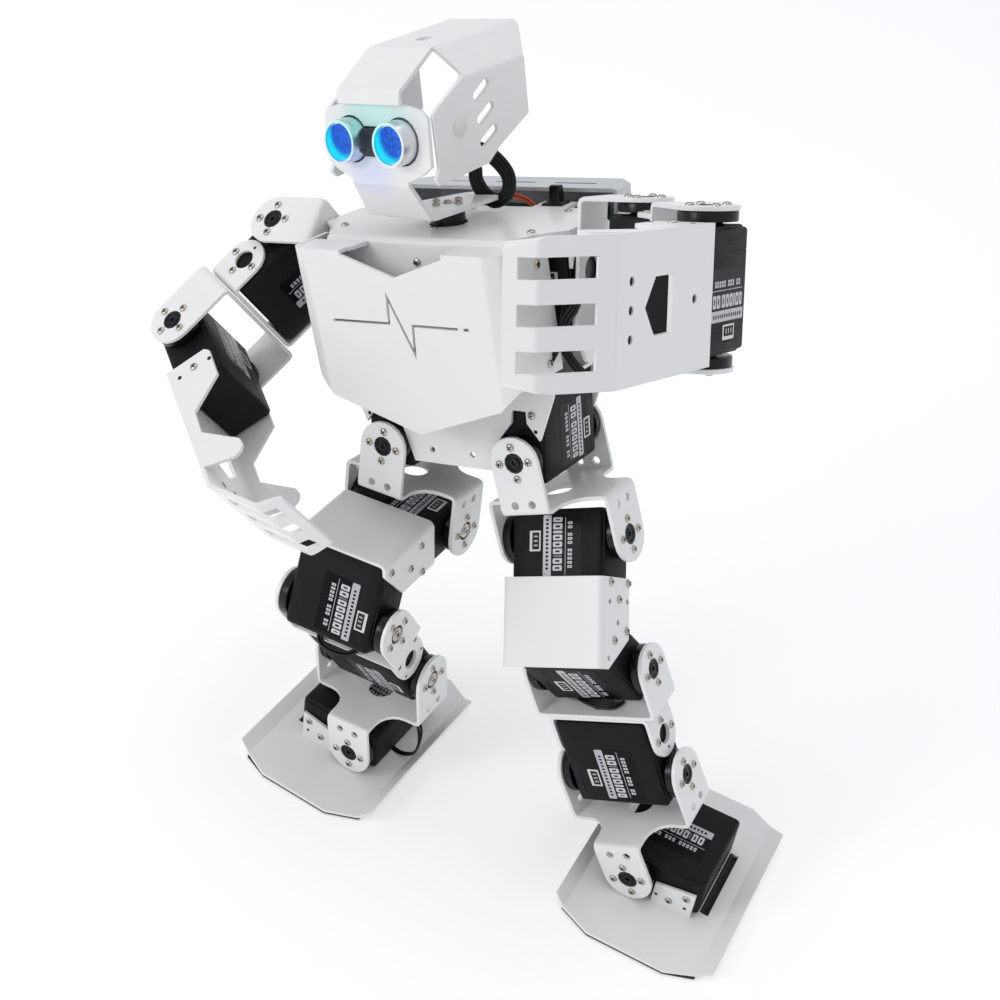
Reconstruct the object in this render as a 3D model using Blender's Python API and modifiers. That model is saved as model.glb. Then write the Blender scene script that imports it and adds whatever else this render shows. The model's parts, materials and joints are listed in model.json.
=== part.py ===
"""Humanoid robot kit: seventeen servos joined by bent sheet brackets.

World frame: +Z up, the robot looks along -Y, its left side is +X. The origin is the middle of the
footprint on the floor. Every size below is in millimetres and every angle in degrees.
The rest pose is a stride: both soles are flat on the floor and the torso leans over the right leg.
"""

import math

import bmesh
import bpy
from mathutils import Matrix, Vector

KIT = "humanoid_robot_kit"
MM = 0.001

# Sheet metal
SHEET = 1.6
BEND_RADIUS = 1.8
GAP = 0.3

# Servo: its axis is local Y, its length runs from the axis towards local -Z, its width is local X
SERVO_HALF_WIDTH = 10.05
SERVO_NEAR_END = 10.0
SERVO_FAR_END = 29.8
SERVO_HALF_HEIGHT = 20.8
SERVO_EDGE = 1.3
BOSS_RADIUS = 5.0
BOSS_END = 21.7
HORN_RADIUS = 9.6
HORN_START = 22.0
HORN_END = 25.55
HUB_RADIUS = 4.2
MOUNT_CENTRE = 19.6

# Brackets: depths run from a servo's axis to the outer face of the bracket's base
EAR_MIDDLE = HORN_END + SHEET / 2
EAR_RADIUS = 10.4
BODY_EAR_MIDDLE = SERVO_HALF_HEIGHT + GAP + SHEET / 2
BODY_EAR_RADIUS = 9.4
BODY_U_DEPTH = 32.3
KNEE_U_DEPTH = 18.1
SHOULDER_U_DEPTH = 21.5
CROSS_PITCH_DEPTH = 18.0
HIP_CROSS_ROLL_DEPTH = 21.8
ANKLE_CROSS_ROLL_DEPTH = 17.4
CROSS_FILLET = 9.0
CABLE_HOLE_RADIUS = 5.8

# Legs
HIP_SPACING = 60.4
THIGH = 55.3
SHANK = BODY_U_DEPTH + GAP + KNEE_U_DEPTH
THIGH_TILT = -21.0
KNEE_SERVO_TILT = 65.0
SOLE_THICKNESS = 1.0
FOOT_AXIS_HEIGHT = 13.7
FOOT_FRONT = 51.9
FOOT_REAR = 47.4
FOOT_OUTER = 46.0
FOOT_INNER = 23.4

# Arms
SHOULDER_SERVO_X = 31.05
SHOULDER_ROLL_X = 75.9
SHOULDER_Y = -4.5
SHOULDER_Z = 71.1
UPPER_ARM = 57.2
ELBOW_U_DEPTH = UPPER_ARM - BODY_U_DEPTH - GAP
HAND_PLATE = 12.0
HAND_START = 19.4
HAND_FOLD = 80.9
FINGER_LENGTH = 24.6
FINGER_TIP = 10.2
FINGER_BEND = 35.4
TIP_BEND = 42.6
FINGER_SLOT_START = 5.9
FINGER_SLOT_END = 30.3
FINGER_PITCH = 13.5

# Torso and head, in the torso frame whose origin is midway between the hip roll axes
CHEST_TOP = 86.5
CHEST_FRONT = -53.2
CHEST_BOTTOM = 14.0
CHEST_SLOPE = 8.2
CHEST_HALF = 38.6
TOP_PLATE_Z = 88.0
DECK_REAR = 18.0
SIDE_WALL_X = 53.9
COVER_TOP = 93.6
COVER_REAR = 49.8
COVER_HALF = 49.9
NECK_Y = -12.0
HEAD_Z = 89.8
HEAD_BACK = 6.0
HELMET_HALF = 27.4
NECK_HORN_TOP = 94.4
NECK_HORN_RADIUS = 6.6
FACE_Y = -38.5
EYE_SPACING = 26.0
EYE_Z = 36.3

# Rest pose
TORSO_PITCH = -10.9
TORSO_ROLL = -19.3
HEAD_YAW = -12.5
ARM_POSE = {"left": (-99.8, -46.5, 48.5), "right": (-46.0, 30.7, -74.3)}
LEG_POSE = {"left": (-10.2, -4.7, 13.8), "right": (11.6, -59.2, 99.7)}
SIGN = {"left": 1, "right": -1}

MATERIALS = {
    "white_paint": ((0.80, 0.80, 0.79), 0.42, 0.0),
    "black_case": ((0.018, 0.018, 0.02), 0.45, 0.0),
    "black_horn": ((0.012, 0.012, 0.013), 0.3, 0.0),
    "rubber": ((0.02, 0.02, 0.02), 0.8, 0.0),
    "circuit_board": ((0.03, 0.10, 0.06), 0.5, 0.0),
    "battery_wrap": ((0.05, 0.06, 0.09), 0.5, 0.0),
    "grey_cover": ((0.62, 0.63, 0.64), 0.35, 0.3),
    "aluminium": ((0.72, 0.73, 0.74), 0.3, 1.0),
}


# ---------------------------------------------------------------- scene

def clear_scene():
    for obj in list(bpy.data.objects):
        bpy.data.objects.remove(obj)
    for mesh in list(bpy.data.meshes):
        bpy.data.meshes.remove(mesh)


def make_material(name):
    colour, roughness, metallic = MATERIALS[name]
    material = bpy.data.materials.new(name)
    material.use_nodes = True
    shader = material.node_tree.nodes["Principled BSDF"]
    shader.inputs["Base Color"].default_value = (*colour, 1.0)
    shader.inputs["Roughness"].default_value = roughness
    shader.inputs["Metallic"].default_value = metallic
    material.diffuse_color = (*colour, 1.0)
    return material


def turn(degrees, axis):
    return Matrix.Rotation(math.radians(degrees), 4, axis)


def shift(x, y, z):
    return Matrix.Translation((x, y, z))


def add_frame(name, parent, place):
    """An empty on a joint's axis. Its place is given in millimetres in its parent's frame."""
    frame = bpy.data.objects.new(name, None)
    frame.empty_display_size = 0.01
    bpy.context.scene.collection.objects.link(frame)
    frame.parent = parent
    metres = place.copy()
    metres.translation = place.translation * MM
    frame.matrix_basis = metres
    return frame


# ---------------------------------------------------------------- solids, in millimetres

def new_object(mesh):
    obj = bpy.data.objects.new(mesh.name, mesh)
    bpy.context.scene.collection.objects.link(obj)
    return obj


def evaluated_mesh(obj):
    bpy.context.view_layer.update()
    graph = bpy.context.evaluated_depsgraph_get()
    return bpy.data.meshes.new_from_object(obj.evaluated_get(graph))


def tidy(mesh):
    """Welds a mesh in millimetres and turns its faces outwards."""
    work = bmesh.new()
    work.from_mesh(mesh)
    bmesh.ops.remove_doubles(work, verts=work.verts, dist=0.0001)
    bmesh.ops.dissolve_degenerate(work, edges=work.edges, dist=0.0001)
    bmesh.ops.recalc_face_normals(work, faces=work.faces)
    work.to_mesh(mesh)
    work.free()


def flat_curve(outline, half_thickness, closed):
    curve = bpy.data.curves.new("outline", "CURVE")
    curve.dimensions = "2D" if closed else "3D"
    curve.fill_mode = "BOTH" if closed else "FULL"
    curve.extrude = half_thickness
    spline = curve.splines.new("POLY")
    spline.points.add(len(outline) - 1)
    for point, (a, b) in zip(spline.points, outline):
        point.co = (a, b, 0, 1)
    spline.use_cyclic_u = closed
    return curve


def from_curve(curve):
    obj = bpy.data.objects.new("curve", curve)
    bpy.context.scene.collection.objects.link(obj)
    mesh = evaluated_mesh(obj)
    bpy.data.objects.remove(obj)
    tidy(mesh)
    return mesh


PLANES = {
    "XY": Matrix.Identity(4),
    "XZ": Matrix(((1, 0, 0, 0), (0, 0, 1, 0), (0, 1, 0, 0), (0, 0, 0, 1))),
    "YZ": Matrix(((0, 0, 1, 0), (1, 0, 0, 0), (0, 1, 0, 0), (0, 0, 0, 1))),
}


def prism(outline, low, high, plane="XY"):
    """A flat outline in the given plane, from low to high along the plane's normal."""
    mesh = from_curve(flat_curve(outline, (high - low) / 2, True))
    mesh.transform(PLANES[plane] @ shift(0, 0, (low + high) / 2))
    tidy(mesh)
    return new_object(mesh)


def sheet(path, low, high, plane="XY", thickness=SHEET, radius=BEND_RADIUS):
    """A bent sheet: a path in the given plane, rounded at its bends, extruded along the normal."""
    mesh = from_curve(flat_curve(rounded(path, radius), (high - low) / 2, False))
    mesh.transform(PLANES[plane] @ shift(0, 0, (low + high) / 2))
    obj = new_object(mesh)
    solid = obj.modifiers.new("thickness", "SOLIDIFY")
    solid.thickness = thickness
    solid.offset = 0
    solid.use_even_offset = True
    obj.data = evaluated_mesh(obj)
    obj.modifiers.clear()
    tidy(obj.data)
    return obj


def rod(radius, low, high, axis="Z", centre=(0, 0), segments=20):
    """A round bar along an axis; centre is its place in the other two axes, in X, Y, Z order."""
    mesh = bpy.data.meshes.new("rod")
    work = bmesh.new()
    bmesh.ops.create_cone(work, cap_ends=True, segments=segments, radius1=radius, radius2=radius,
                          depth=high - low)
    work.to_mesh(mesh)
    work.free()
    middle = (low + high) / 2
    if axis == "Z":
        place = shift(centre[0], centre[1], middle)
    elif axis == "Y":
        place = shift(centre[0], middle, centre[1]) @ turn(90, "X")
    else:
        place = shift(middle, centre[0], centre[1]) @ turn(90, "Y")
    mesh.transform(place)
    return new_object(mesh)


def block(low, high, edge=0.0):
    """A box between two corners, with its edges bevelled by edge."""
    mesh = bpy.data.meshes.new("block")
    work = bmesh.new()
    bmesh.ops.create_cube(work, size=1.0)
    size = [b - a for a, b in zip(low, high)]
    centre = [(a + b) / 2 for a, b in zip(low, high)]
    bmesh.ops.scale(work, vec=size, verts=work.verts)
    bmesh.ops.translate(work, vec=centre, verts=work.verts)
    if edge:
        bmesh.ops.bevel(work, geom=work.edges[:], offset=edge, segments=1, affect="EDGES")
    work.to_mesh(mesh)
    work.free()
    return new_object(mesh)


def boolean(target, operation, *tools):
    """Joins, cuts or trims target with each tool in turn and removes the tools."""
    for tool in tools:
        modifier = target.modifiers.new(operation, "BOOLEAN")
        modifier.operation = operation
        modifier.solver = "EXACT"
        modifier.object = tool
        target.data = evaluated_mesh(target)
        target.modifiers.clear()
        tidy(target.data)
        bpy.data.objects.remove(tool)
    return target


def union(target, *tools):
    return boolean(target, "UNION", *tools)


def cut(target, *tools):
    return boolean(target, "DIFFERENCE", *tools)


def trim(target, *tools):
    return boolean(target, "INTERSECT", *tools)


def add_part(name, obj, frame, material, smooth=40):
    """Names a finished solid, scales it to metres and hangs it on its frame."""
    obj.name = name
    obj.data.name = name
    obj.data.transform(Matrix.Scale(MM, 4))
    obj.data.materials.clear()
    obj.data.materials.append(bpy.data.materials[material])
    obj.data.shade_smooth()
    obj.data.set_sharp_from_angle(angle=math.radians(smooth))
    obj.parent = frame
    bpy.context.scene.collection.objects.unlink(obj)
    bpy.data.collections[KIT].objects.link(obj)
    return obj


# ---------------------------------------------------------------- outlines

def arc(a, b, radius, start, end, steps):
    """Points on a circle about (a, b), from start to end degrees."""
    angles = [math.radians(start + (end - start) * i / steps) for i in range(steps + 1)]
    return [(a + radius * math.cos(t), b + radius * math.sin(t)) for t in angles]


def rounded(path, radius, steps=2, closed=False):
    """A path whose corners are replaced with arcs of the given radius."""
    points = []
    count = len(path)
    for i, corner in enumerate(path):
        if not closed and i in (0, count - 1):
            points.append(corner)
            continue
        here = Vector(corner)
        before = Vector(path[i - 1]) - here
        after = Vector(path[(i + 1) % count]) - here
        half = before.angle(after) / 2
        reach = min(radius / math.tan(half), before.length * 0.45, after.length * 0.45)
        start = here + before.normalized() * reach
        end = here + after.normalized() * reach
        middle = here + (before.normalized() + after.normalized()).normalized() * (
            reach / math.cos(half))
        bow = reach * math.tan(half)
        if reach < 0.05 or half > math.radians(89):
            points.append(corner)
            continue
        for k in range(steps + 1):
            along = start.lerp(end, k / steps) - middle
            points.append(tuple(middle + along.normalized() * bow))
    return points


def ear_outline(radius, depth):
    """A tab that is round about its servo axis and straight down to its base."""
    return arc(0, 0, radius, 180, 0, 10) + [(radius, -depth), (-radius, -depth)]


def slot_outline(start, end, radius):
    run = Vector(end) - Vector(start)
    angle = math.degrees(math.atan2(run.y, run.x))
    return arc(*end, radius, angle - 90, angle + 90, 6) + arc(*start, radius, angle + 90, angle + 270, 6)


def mirrored(points):
    """A half outline and its mirror image about the first coordinate, as one loop."""
    return points + [(-a, b) for a, b in reversed(points)]


# ---------------------------------------------------------------- servos and brackets

def servo(name, frame, place=Matrix.Identity(4), bosses=(-1, 1)):
    """A servo case with a raised boss round the shaft at the given ends of its axis."""
    case = block((-SERVO_HALF_WIDTH, -SERVO_HALF_HEIGHT, -SERVO_FAR_END),
                 (SERVO_HALF_WIDTH, SERVO_HALF_HEIGHT, SERVO_NEAR_END), SERVO_EDGE)
    for side in bosses:
        low, high = sorted((side * (SERVO_HALF_HEIGHT - 2), side * BOSS_END))
        union(case, rod(BOSS_RADIUS, low, high, "Y", segments=16))
    case.data.transform(place)
    return add_part(name, case, frame, "black_case")


def on_side(side, radius, near, far, axis, height=0.0, segments=20):
    """A round bar at one end of a servo's axis, from near to far millimetres along it."""
    low, high = sorted((side * near, side * far))
    return rod(radius, low, high, axis, (0, height), segments)


def add_horns(bracket, axis, height=0.0):
    """Fuses a horn disc to the inside of both ears and opens the ears' hub holes."""
    for side in (-1, 1):
        union(bracket, on_side(side, HORN_RADIUS, HORN_START, HORN_END + 0.4, axis, height))
        cut(bracket, on_side(side, HUB_RADIUS, HORN_END, HORN_END + 3, axis, height, 12))
    return bracket


def horn_u(depth, half_width=EAR_RADIUS):
    """A U bracket on a servo's two horns: ears at +Y and -Y, base at -Z."""
    middle = depth - SHEET / 2
    path = [(-EAR_MIDDLE, half_width + 2), (-EAR_MIDDLE, -middle), (EAR_MIDDLE, -middle),
            (EAR_MIDDLE, half_width + 2)]
    bracket = sheet(path, -half_width - 1, half_width + 1, "YZ")
    trim(bracket, prism(ear_outline(half_width, depth + 2), -40, 40, "XZ"))
    cut(bracket, rod(CABLE_HOLE_RADIUS, -depth - 2, -depth + 3, "Z"))
    return add_horns(bracket, "Y")


def body_u():
    """A U bracket screwed to a servo's case: ears beside the case, base beyond its far end."""
    middle = BODY_U_DEPTH - SHEET / 2
    path = [(-BODY_EAR_MIDDLE, 0), (-BODY_EAR_MIDDLE, -middle), (BODY_EAR_MIDDLE, -middle),
            (BODY_EAR_MIDDLE, 0)]
    bracket = sheet(path, -BODY_EAR_RADIUS - 1, BODY_EAR_RADIUS + 1, "YZ")
    outline = [(a, b - MOUNT_CENTRE) for a, b in ear_outline(BODY_EAR_RADIUS, 16)]
    trim(bracket, prism(outline, -40, 40, "XZ"))
    cut(bracket, rod(HUB_RADIUS, -40, 40, "Y", (0, -MOUNT_CENTRE), 16),
        rod(CABLE_HOLE_RADIUS, -BODY_U_DEPTH - 2, -BODY_U_DEPTH + 3, "Z"))
    return bracket


def cross_bracket(roll_depth, pitch_depth, roll_up):
    """Links a roll axis along Y to a pitch axis along X: two U shapes back to back share one plate,
    whose middle is at z = 0. The roll ears rise from it when roll_up is 1 and hang when it is -1."""
    half = SHEET / 2
    reach = EAR_RADIUS + 2
    roll = roll_up * roll_depth
    pitch = -roll_up * pitch_depth
    ends = [(-EAR_MIDDLE, roll + roll_up * reach), (-EAR_MIDDLE, 0), (EAR_MIDDLE, 0),
            (EAR_MIDDLE, roll + roll_up * reach)]
    bracket = sheet(ends, -EAR_RADIUS, EAR_RADIUS, "YZ")
    outline = [(a, roll + roll_up * b) for a, b in ear_outline(EAR_RADIUS, roll_depth + 2)]
    trim(bracket, prism(outline, -40, 40, "XZ"))
    width = EAR_RADIUS + 0.6
    ends = [(-EAR_MIDDLE, pitch - roll_up * reach), (-EAR_MIDDLE, 0), (EAR_MIDDLE, 0),
            (EAR_MIDDLE, pitch - roll_up * reach)]
    other = sheet(ends, -width, width, "XZ")
    outline = [(a, pitch - roll_up * b) for a, b in ear_outline(width, pitch_depth + 2)]
    trim(other, prism(outline, -40, 40, "YZ"))
    inner_x = EAR_RADIUS + CROSS_FILLET
    inner_y = width + CROSS_FILLET
    quarter = [(inner_x, 0), (inner_x, width)] + arc(inner_x, inner_y, CROSS_FILLET, 270, 180, 5)[1:]
    quarter += [(0, inner_y)]
    web = quarter + [(-a, b) for a, b in reversed(quarter[:-1])]
    web += [(-a, -b) for a, b in quarter[1:]] + [(a, -b) for a, b in reversed(quarter[1:-1])]
    union(bracket, other, prism(web, -half, half))
    add_horns(bracket, "Y", roll)
    add_horns(bracket, "X", pitch)
    holes = [rod(1.7, -30, 30, "Y", (x, roll_up * 3.9), 8) for x in (-3.8, 3.8)]
    holes += [rod(1.7, -30, 30, "X", (y, -roll_up * 4.8), 8) for y in (-3.8, 3.8)]
    return cut(bracket, *holes, rod(CABLE_HOLE_RADIUS, -3, 3, "Z", segments=16))


# ---------------------------------------------------------------- torso

def chest_cover(frame):
    """Sloping front panel with a narrow facet and a wing on each side, and a notched top."""
    slope = math.tan(math.radians(CHEST_SLOPE))
    facet_x = CHEST_HALF + 6.2
    facet_y = CHEST_FRONT + 3.2
    half = [(facet_x + 1.4, -22.0), (facet_x, facet_y), (CHEST_HALF, CHEST_FRONT)]
    path = half + [(-a, b) for a, b in reversed(half)]
    cover = sheet(path, -10, CHEST_TOP + 6, "XY", radius=3.0)
    shear = Matrix.Identity(4)
    shear[1][2] = -slope
    lean = Matrix.Translation((0, slope * CHEST_TOP, 0)) @ shear
    cover.data.transform(lean)
    outline = mirrored([(52, CHEST_TOP + 0.8), (52, 36.5), (45.5, 35.5), (37.5, 27), (0.6, CHEST_BOTTOM)])
    trim(cover, prism(outline, -80, 0, "XZ"))
    cut(cover, block((-60, -28, CHEST_TOP + 0.3), (60, 0, CHEST_TOP + 5)))
    inner = facet_x - SHEET
    for side in (1, -1):
        flange = [(side * 21.8, CHEST_FRONT + 0.2), (side * CHEST_HALF, CHEST_FRONT + 0.2),
                  (side * (inner + 0.6), facet_y + 0.6), (side * (inner + 0.9), -38.8),
                  (side * 19.5, -38.8)]
        union(cover, prism(flange, CHEST_TOP - 0.75, CHEST_TOP + 0.75))
    notch = [(-22.2, CHEST_TOP + 3), (-22.2, CHEST_TOP - 1), (0, 77.5), (22.2, CHEST_TOP - 1),
             (22.2, CHEST_TOP + 3)]
    cut(cover, prism(notch, -70, CHEST_FRONT + 4.5, "XZ"))
    trace = [(-30.6, 59), (-5.2, 59.2), (-4.2, 69.8), (4.0, 47.6), (5.2, 59), (24.6, 59)]
    cut(cover, sheet(trace, -70, -35, "XZ", thickness=1.0, radius=0),
        block((27, -70, 58.4), (29.2, -35, 59.6)))
    return add_part("chest_cover", cover, frame, "white_paint")


def body_frame(frame):
    """Bent sheet frame: inner front wall, top plate with the neck opening and a tab for the power
    switch, and two side walls."""
    deck = sheet([(-37.6, 34), (-37.6, TOP_PLATE_Z), (DECK_REAR, TOP_PLATE_Z)], -SIDE_WALL_X,
                 SIDE_WALL_X, "YZ")
    plan = mirrored([(38, DECK_REAR + 1), (SIDE_WALL_X + 0.8, 7), (SIDE_WALL_X + 0.8, -16), (44, -26),
                     (43, -30), (38.8, -36), (38.8, -40)])
    trim(deck, prism(plan, 20, 100))
    wall = [(-15.6, TOP_PLATE_Z + 0.4), (-15.6, 52), (-8, 36), (33.6, 36), (33.6, 76),
            (8, TOP_PLATE_Z + 0.4)]
    for side in (1, -1):
        low, high = sorted((side * (SIDE_WALL_X - SHEET + 0.1), side * (SIDE_WALL_X + 0.02)))
        union(deck, prism(rounded(wall, 3, closed=True), low, high, "YZ"))
        cut(deck, rod(11.6, side * 45 - 12, side * 45 + 12, "X", (SHOULDER_Y, SHOULDER_Z), 24))
    union(deck, block((19, DECK_REAR - 2, TOP_PLATE_Z - 0.7), (33.6, 28.6, TOP_PLATE_Z + 0.7)))
    cut(deck, block((21.6, 20.2, 80), (30.9, 28.0, 100)),
        rod(NECK_HORN_RADIUS + 0.8, 80, 100, "Z", (0, NECK_Y), 28))
    return add_part("body_frame", deck, frame, "white_paint")


def pelvis_frame(frame):
    """Saddle over the two hip roll servos: shaped front and rear plates joined by a web."""
    middle = BODY_EAR_MIDDLE
    web_z = SERVO_FAR_END + GAP + SHEET / 2
    saddle = sheet([(-middle, -8), (-middle, web_z), (middle, web_z), (middle, -8)], -48, 48, "YZ")
    shape = mirrored([(46.5, 40), (46.5, 26.5), (39.6, 8.4), (34.4, 15), (34.2, 19.8), (28.2, 19.8),
                      (27.6, 14.4), (22.6, 8.2), (18, -6)])
    trim(saddle, prism(shape, -40, 40, "XZ"))
    holes = [rod(1.2, -40, 40, "Y", (x, -0.4), 10) for x in (-9.3, 9.3)]
    cut(saddle, *holes)
    return add_part("pelvis_frame", saddle, frame, "white_paint")


def back_cover(frame):
    """Rear cover of the electronics bay: wall with chamfered corners and a slotted top flange."""
    edge = COVER_HALF - SHEET / 2
    rear = COVER_REAR - SHEET / 2
    path = [(edge, 29.5), (edge, 41), (42.0, rear), (-42.0, rear), (-edge, 41), (-edge, 29.5)]
    cover = sheet(path, 38, COVER_TOP, "XY", radius=1.0)
    top = prism([(edge, 31.5), (edge, 41), (42.0, rear), (-42.0, rear), (-edge, 41), (-edge, 31.5)],
                COVER_TOP - SHEET, COVER_TOP - 0.05)
    union(cover, top)
    lower = [(60, 34), (60, 46), (44, 37), (-44, 37), (-60, 46), (-60, 34)]
    cut(cover, prism(lower, 20, 60, "XZ"))
    slots = [prism(slot_outline((x - 8.4, 40), (x + 8.4, 40), 0.9), 80, 100) for x in (-26.7, 0, 26.7)]
    vents = [prism(slot_outline((-24, z), (24, z), 1.2), 40, 60, "XZ") for z in (52, 58, 64)]
    cut(cover, *slots, *vents)
    return add_part("back_cover", cover, frame, "grey_cover")


def controller_board(frame):
    """Circuit board behind the servos, with its tall connectors and a heat sink block."""
    board = block((-43, 35.4, 42), (43, 37.0, 86), 0)
    union(board, block((-30, 36.6, 70), (-8, 42, 80)), block((6, 36.6, 52), (24, 41, 70)),
          block((-32, 36.6, 46), (-14, 40, 60)))
    return add_part("controller_board", board, frame, "circuit_board")


def battery_pack(frame):
    pack = block((-34, -36.2, 38), (34, -22.6, 72), 2.0)
    return add_part("battery_pack", pack, frame, "battery_wrap")


def power_switch(frame):
    """Toggle switch that stands in the opening of the top plate's rear tab."""
    switch = block((21.9, 20.5, 79.5), (30.6, 27.7, 89.6), 0.4)
    lever = [(21.7, 89.3), (22.3, 95.4), (22.9, 96.2), (25.2, 96.2), (25.8, 95.4), (26.4, 89.3)]
    union(switch, prism(lever, 24.6, 29.0, "YZ"))
    return add_part("power_switch", switch, frame, "black_horn")


# ---------------------------------------------------------------- head
# The shapes of the head are drawn about a point HEAD_BACK behind the neck axis

def face_plate(frame):
    """Face panel with the opening for the range finder, chin, and plate that sits on the neck horn."""
    half = [(14.8, 20), (14.8, 21.6), (22.0, 24.6), (27, 27.8), (27, 45), (24, 47.6), (15, 49.6)]
    panel = prism(mirrored(half), FACE_Y - 0.75, FACE_Y + 0.75, "XZ")
    rear_z = NECK_HORN_TOP - HEAD_Z + 0.6
    strip = sheet([(FACE_Y, 24), (FACE_Y, 20.6), (-30.5, rear_z + 1.6), (17, rear_z)], -17, 17, "YZ",
                  radius=1.2)
    chin = prism(mirrored([(14.8, 30), (14.8, 20.4), (16.8, 6), (16.8, -4)]), -60, 30, "XZ")
    plan = prism(mirrored([(17, -50), (17, -30), (9, 12), (6, 17)]), -10, 60)
    trim(strip, chin, plan)
    union(panel, strip)
    eye = EYE_SPACING / 2
    for side in (1, -1):
        cut(panel, rod(8.8, FACE_Y - 3, FACE_Y + 3, "Y", (side * eye, EYE_Z), 24))
    cut(panel, block((-eye, FACE_Y - 3, EYE_Z - 5), (eye, FACE_Y + 3, EYE_Z + 5)))
    panel.data.transform(shift(0, HEAD_BACK, 0))
    return add_part("face_plate", panel, frame, "white_paint")


def neck_horn(frame):
    low = TOP_PLATE_Z - HEAD_Z + 0.6
    horn = rod(NECK_HORN_RADIUS, low, NECK_HORN_TOP - HEAD_Z - GAP, "Z", segments=28)
    return add_part("neck_horn", horn, frame, "black_horn")


def helmet_shell(frame):
    """Bent top plate with sloping shoulders and slotted sides, and the forehead band."""
    lean = math.degrees(math.atan2(4.0, 42.2))
    section = [(HELMET_HALF, -52), (HELMET_HALF, -10.6), (16.3, 0), (-16.3, 0), (-HELMET_HALF, -10.6),
               (-HELMET_HALF, -52)]
    shell = sheet(section, -50, 30, "XZ")
    shell.data.transform(shift(0, 0, 68.5) @ turn(lean, "X"))
    side = [(-23, 75), (-23, 66.6), (-20, 57.3), (-34.4, 48.2), (-37.2, 46.0), (-36, 27),
            (-38.2, 23.4), (-36.4, 21), (-10.9, 24.3), (-3.9, 29.8), (11.6, 38.5), (10.8, 59.5),
            (19.2, 69), (19.2, 75)]
    trim(shell, prism(side, -40, 40, "YZ"))
    band = sheet([(-41.2, 49.6), (-41.0, 54.0), (-23.4, 66.35), (-16, 67.05)], -16.2, 16.2, "YZ",
                 thickness=SHEET - 0.1)
    union(shell, band)
    ends = [((-9.9, 52.6), (-15.2, 49.0)), ((-8.3, 44.1), (-14.0, 40.3)), ((-7.0, 35.9), (-13.2, 32.1))]
    cut(shell, *[prism(slot_outline(a, b, 1.7), -40, 40, "YZ") for a, b in ends])
    cut(shell, rod(3.2, 60, 80, "Z", (0, -11)), rod(2.2, -40, 40, "X", (-24.8, 39.6), 12))
    shell.data.transform(shift(0, HEAD_BACK, 0))
    return add_part("helmet_shell", shell, frame, "white_paint")


def range_finder(frame):
    """Ultrasonic range finder: a small board and its two round transducers."""
    back = FACE_Y + 0.75 + GAP
    board = block((-22.5, back, EYE_Z - 9.5), (22.5, back + 1.6, EYE_Z + 9.5))
    union(board, block((-9, back + 1.2, EYE_Z - 8), (9, back + 4, EYE_Z + 2)))
    board.data.transform(shift(0, HEAD_BACK, 0))
    add_part("range_finder_board", board, frame, "circuit_board")
    for side, name in ((1, "transmitter_can"), (-1, "receiver_can")):
        can = rod(8.1, back - 8.6, back - GAP, "Y", (side * EYE_SPACING / 2, EYE_Z), 32)
        cut(can, rod(7.1, back - 10, back - 7.2, "Y", (side * EYE_SPACING / 2, EYE_Z), 32))
        can.data.transform(shift(0, HEAD_BACK, 0))
        add_part(name, can, frame, "aluminium")


# ---------------------------------------------------------------- arms

def shoulder_bracket(side, frame):
    """U bracket round the shoulder roll servo, its base turned towards the torso."""
    bracket = horn_u(SHOULDER_U_DEPTH)
    bracket.data.transform(turn(SIGN[side] * 90, "Y"))
    return add_part(f"{side}_shoulder_bracket", bracket, frame, "white_paint")


def shoulder_horn(side, frame):
    """Disc on the shoulder pitch servo that carries the shoulder bracket."""
    reach = SHOULDER_ROLL_X - SHOULDER_SERVO_X - BOSS_END - GAP
    low, high = sorted((-SIGN[side] * reach, -SIGN[side] * (SHOULDER_U_DEPTH + GAP)))
    horn = rod(HORN_RADIUS, low, high, "X", segments=24)
    return add_part(f"{side}_shoulder_horn", horn, frame, "black_horn")


def upper_arm(side, frame):
    servo(f"{side}_shoulder_roll_servo", frame)
    add_part(f"{side}_upper_arm_bracket", body_u(), frame, "white_paint")
    bracket = horn_u(ELBOW_U_DEPTH)
    bracket.data.transform(shift(0, 0, -UPPER_ARM) @ turn(180, "X"))
    add_part(f"{side}_elbow_bracket", bracket, frame, "white_paint")


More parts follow.
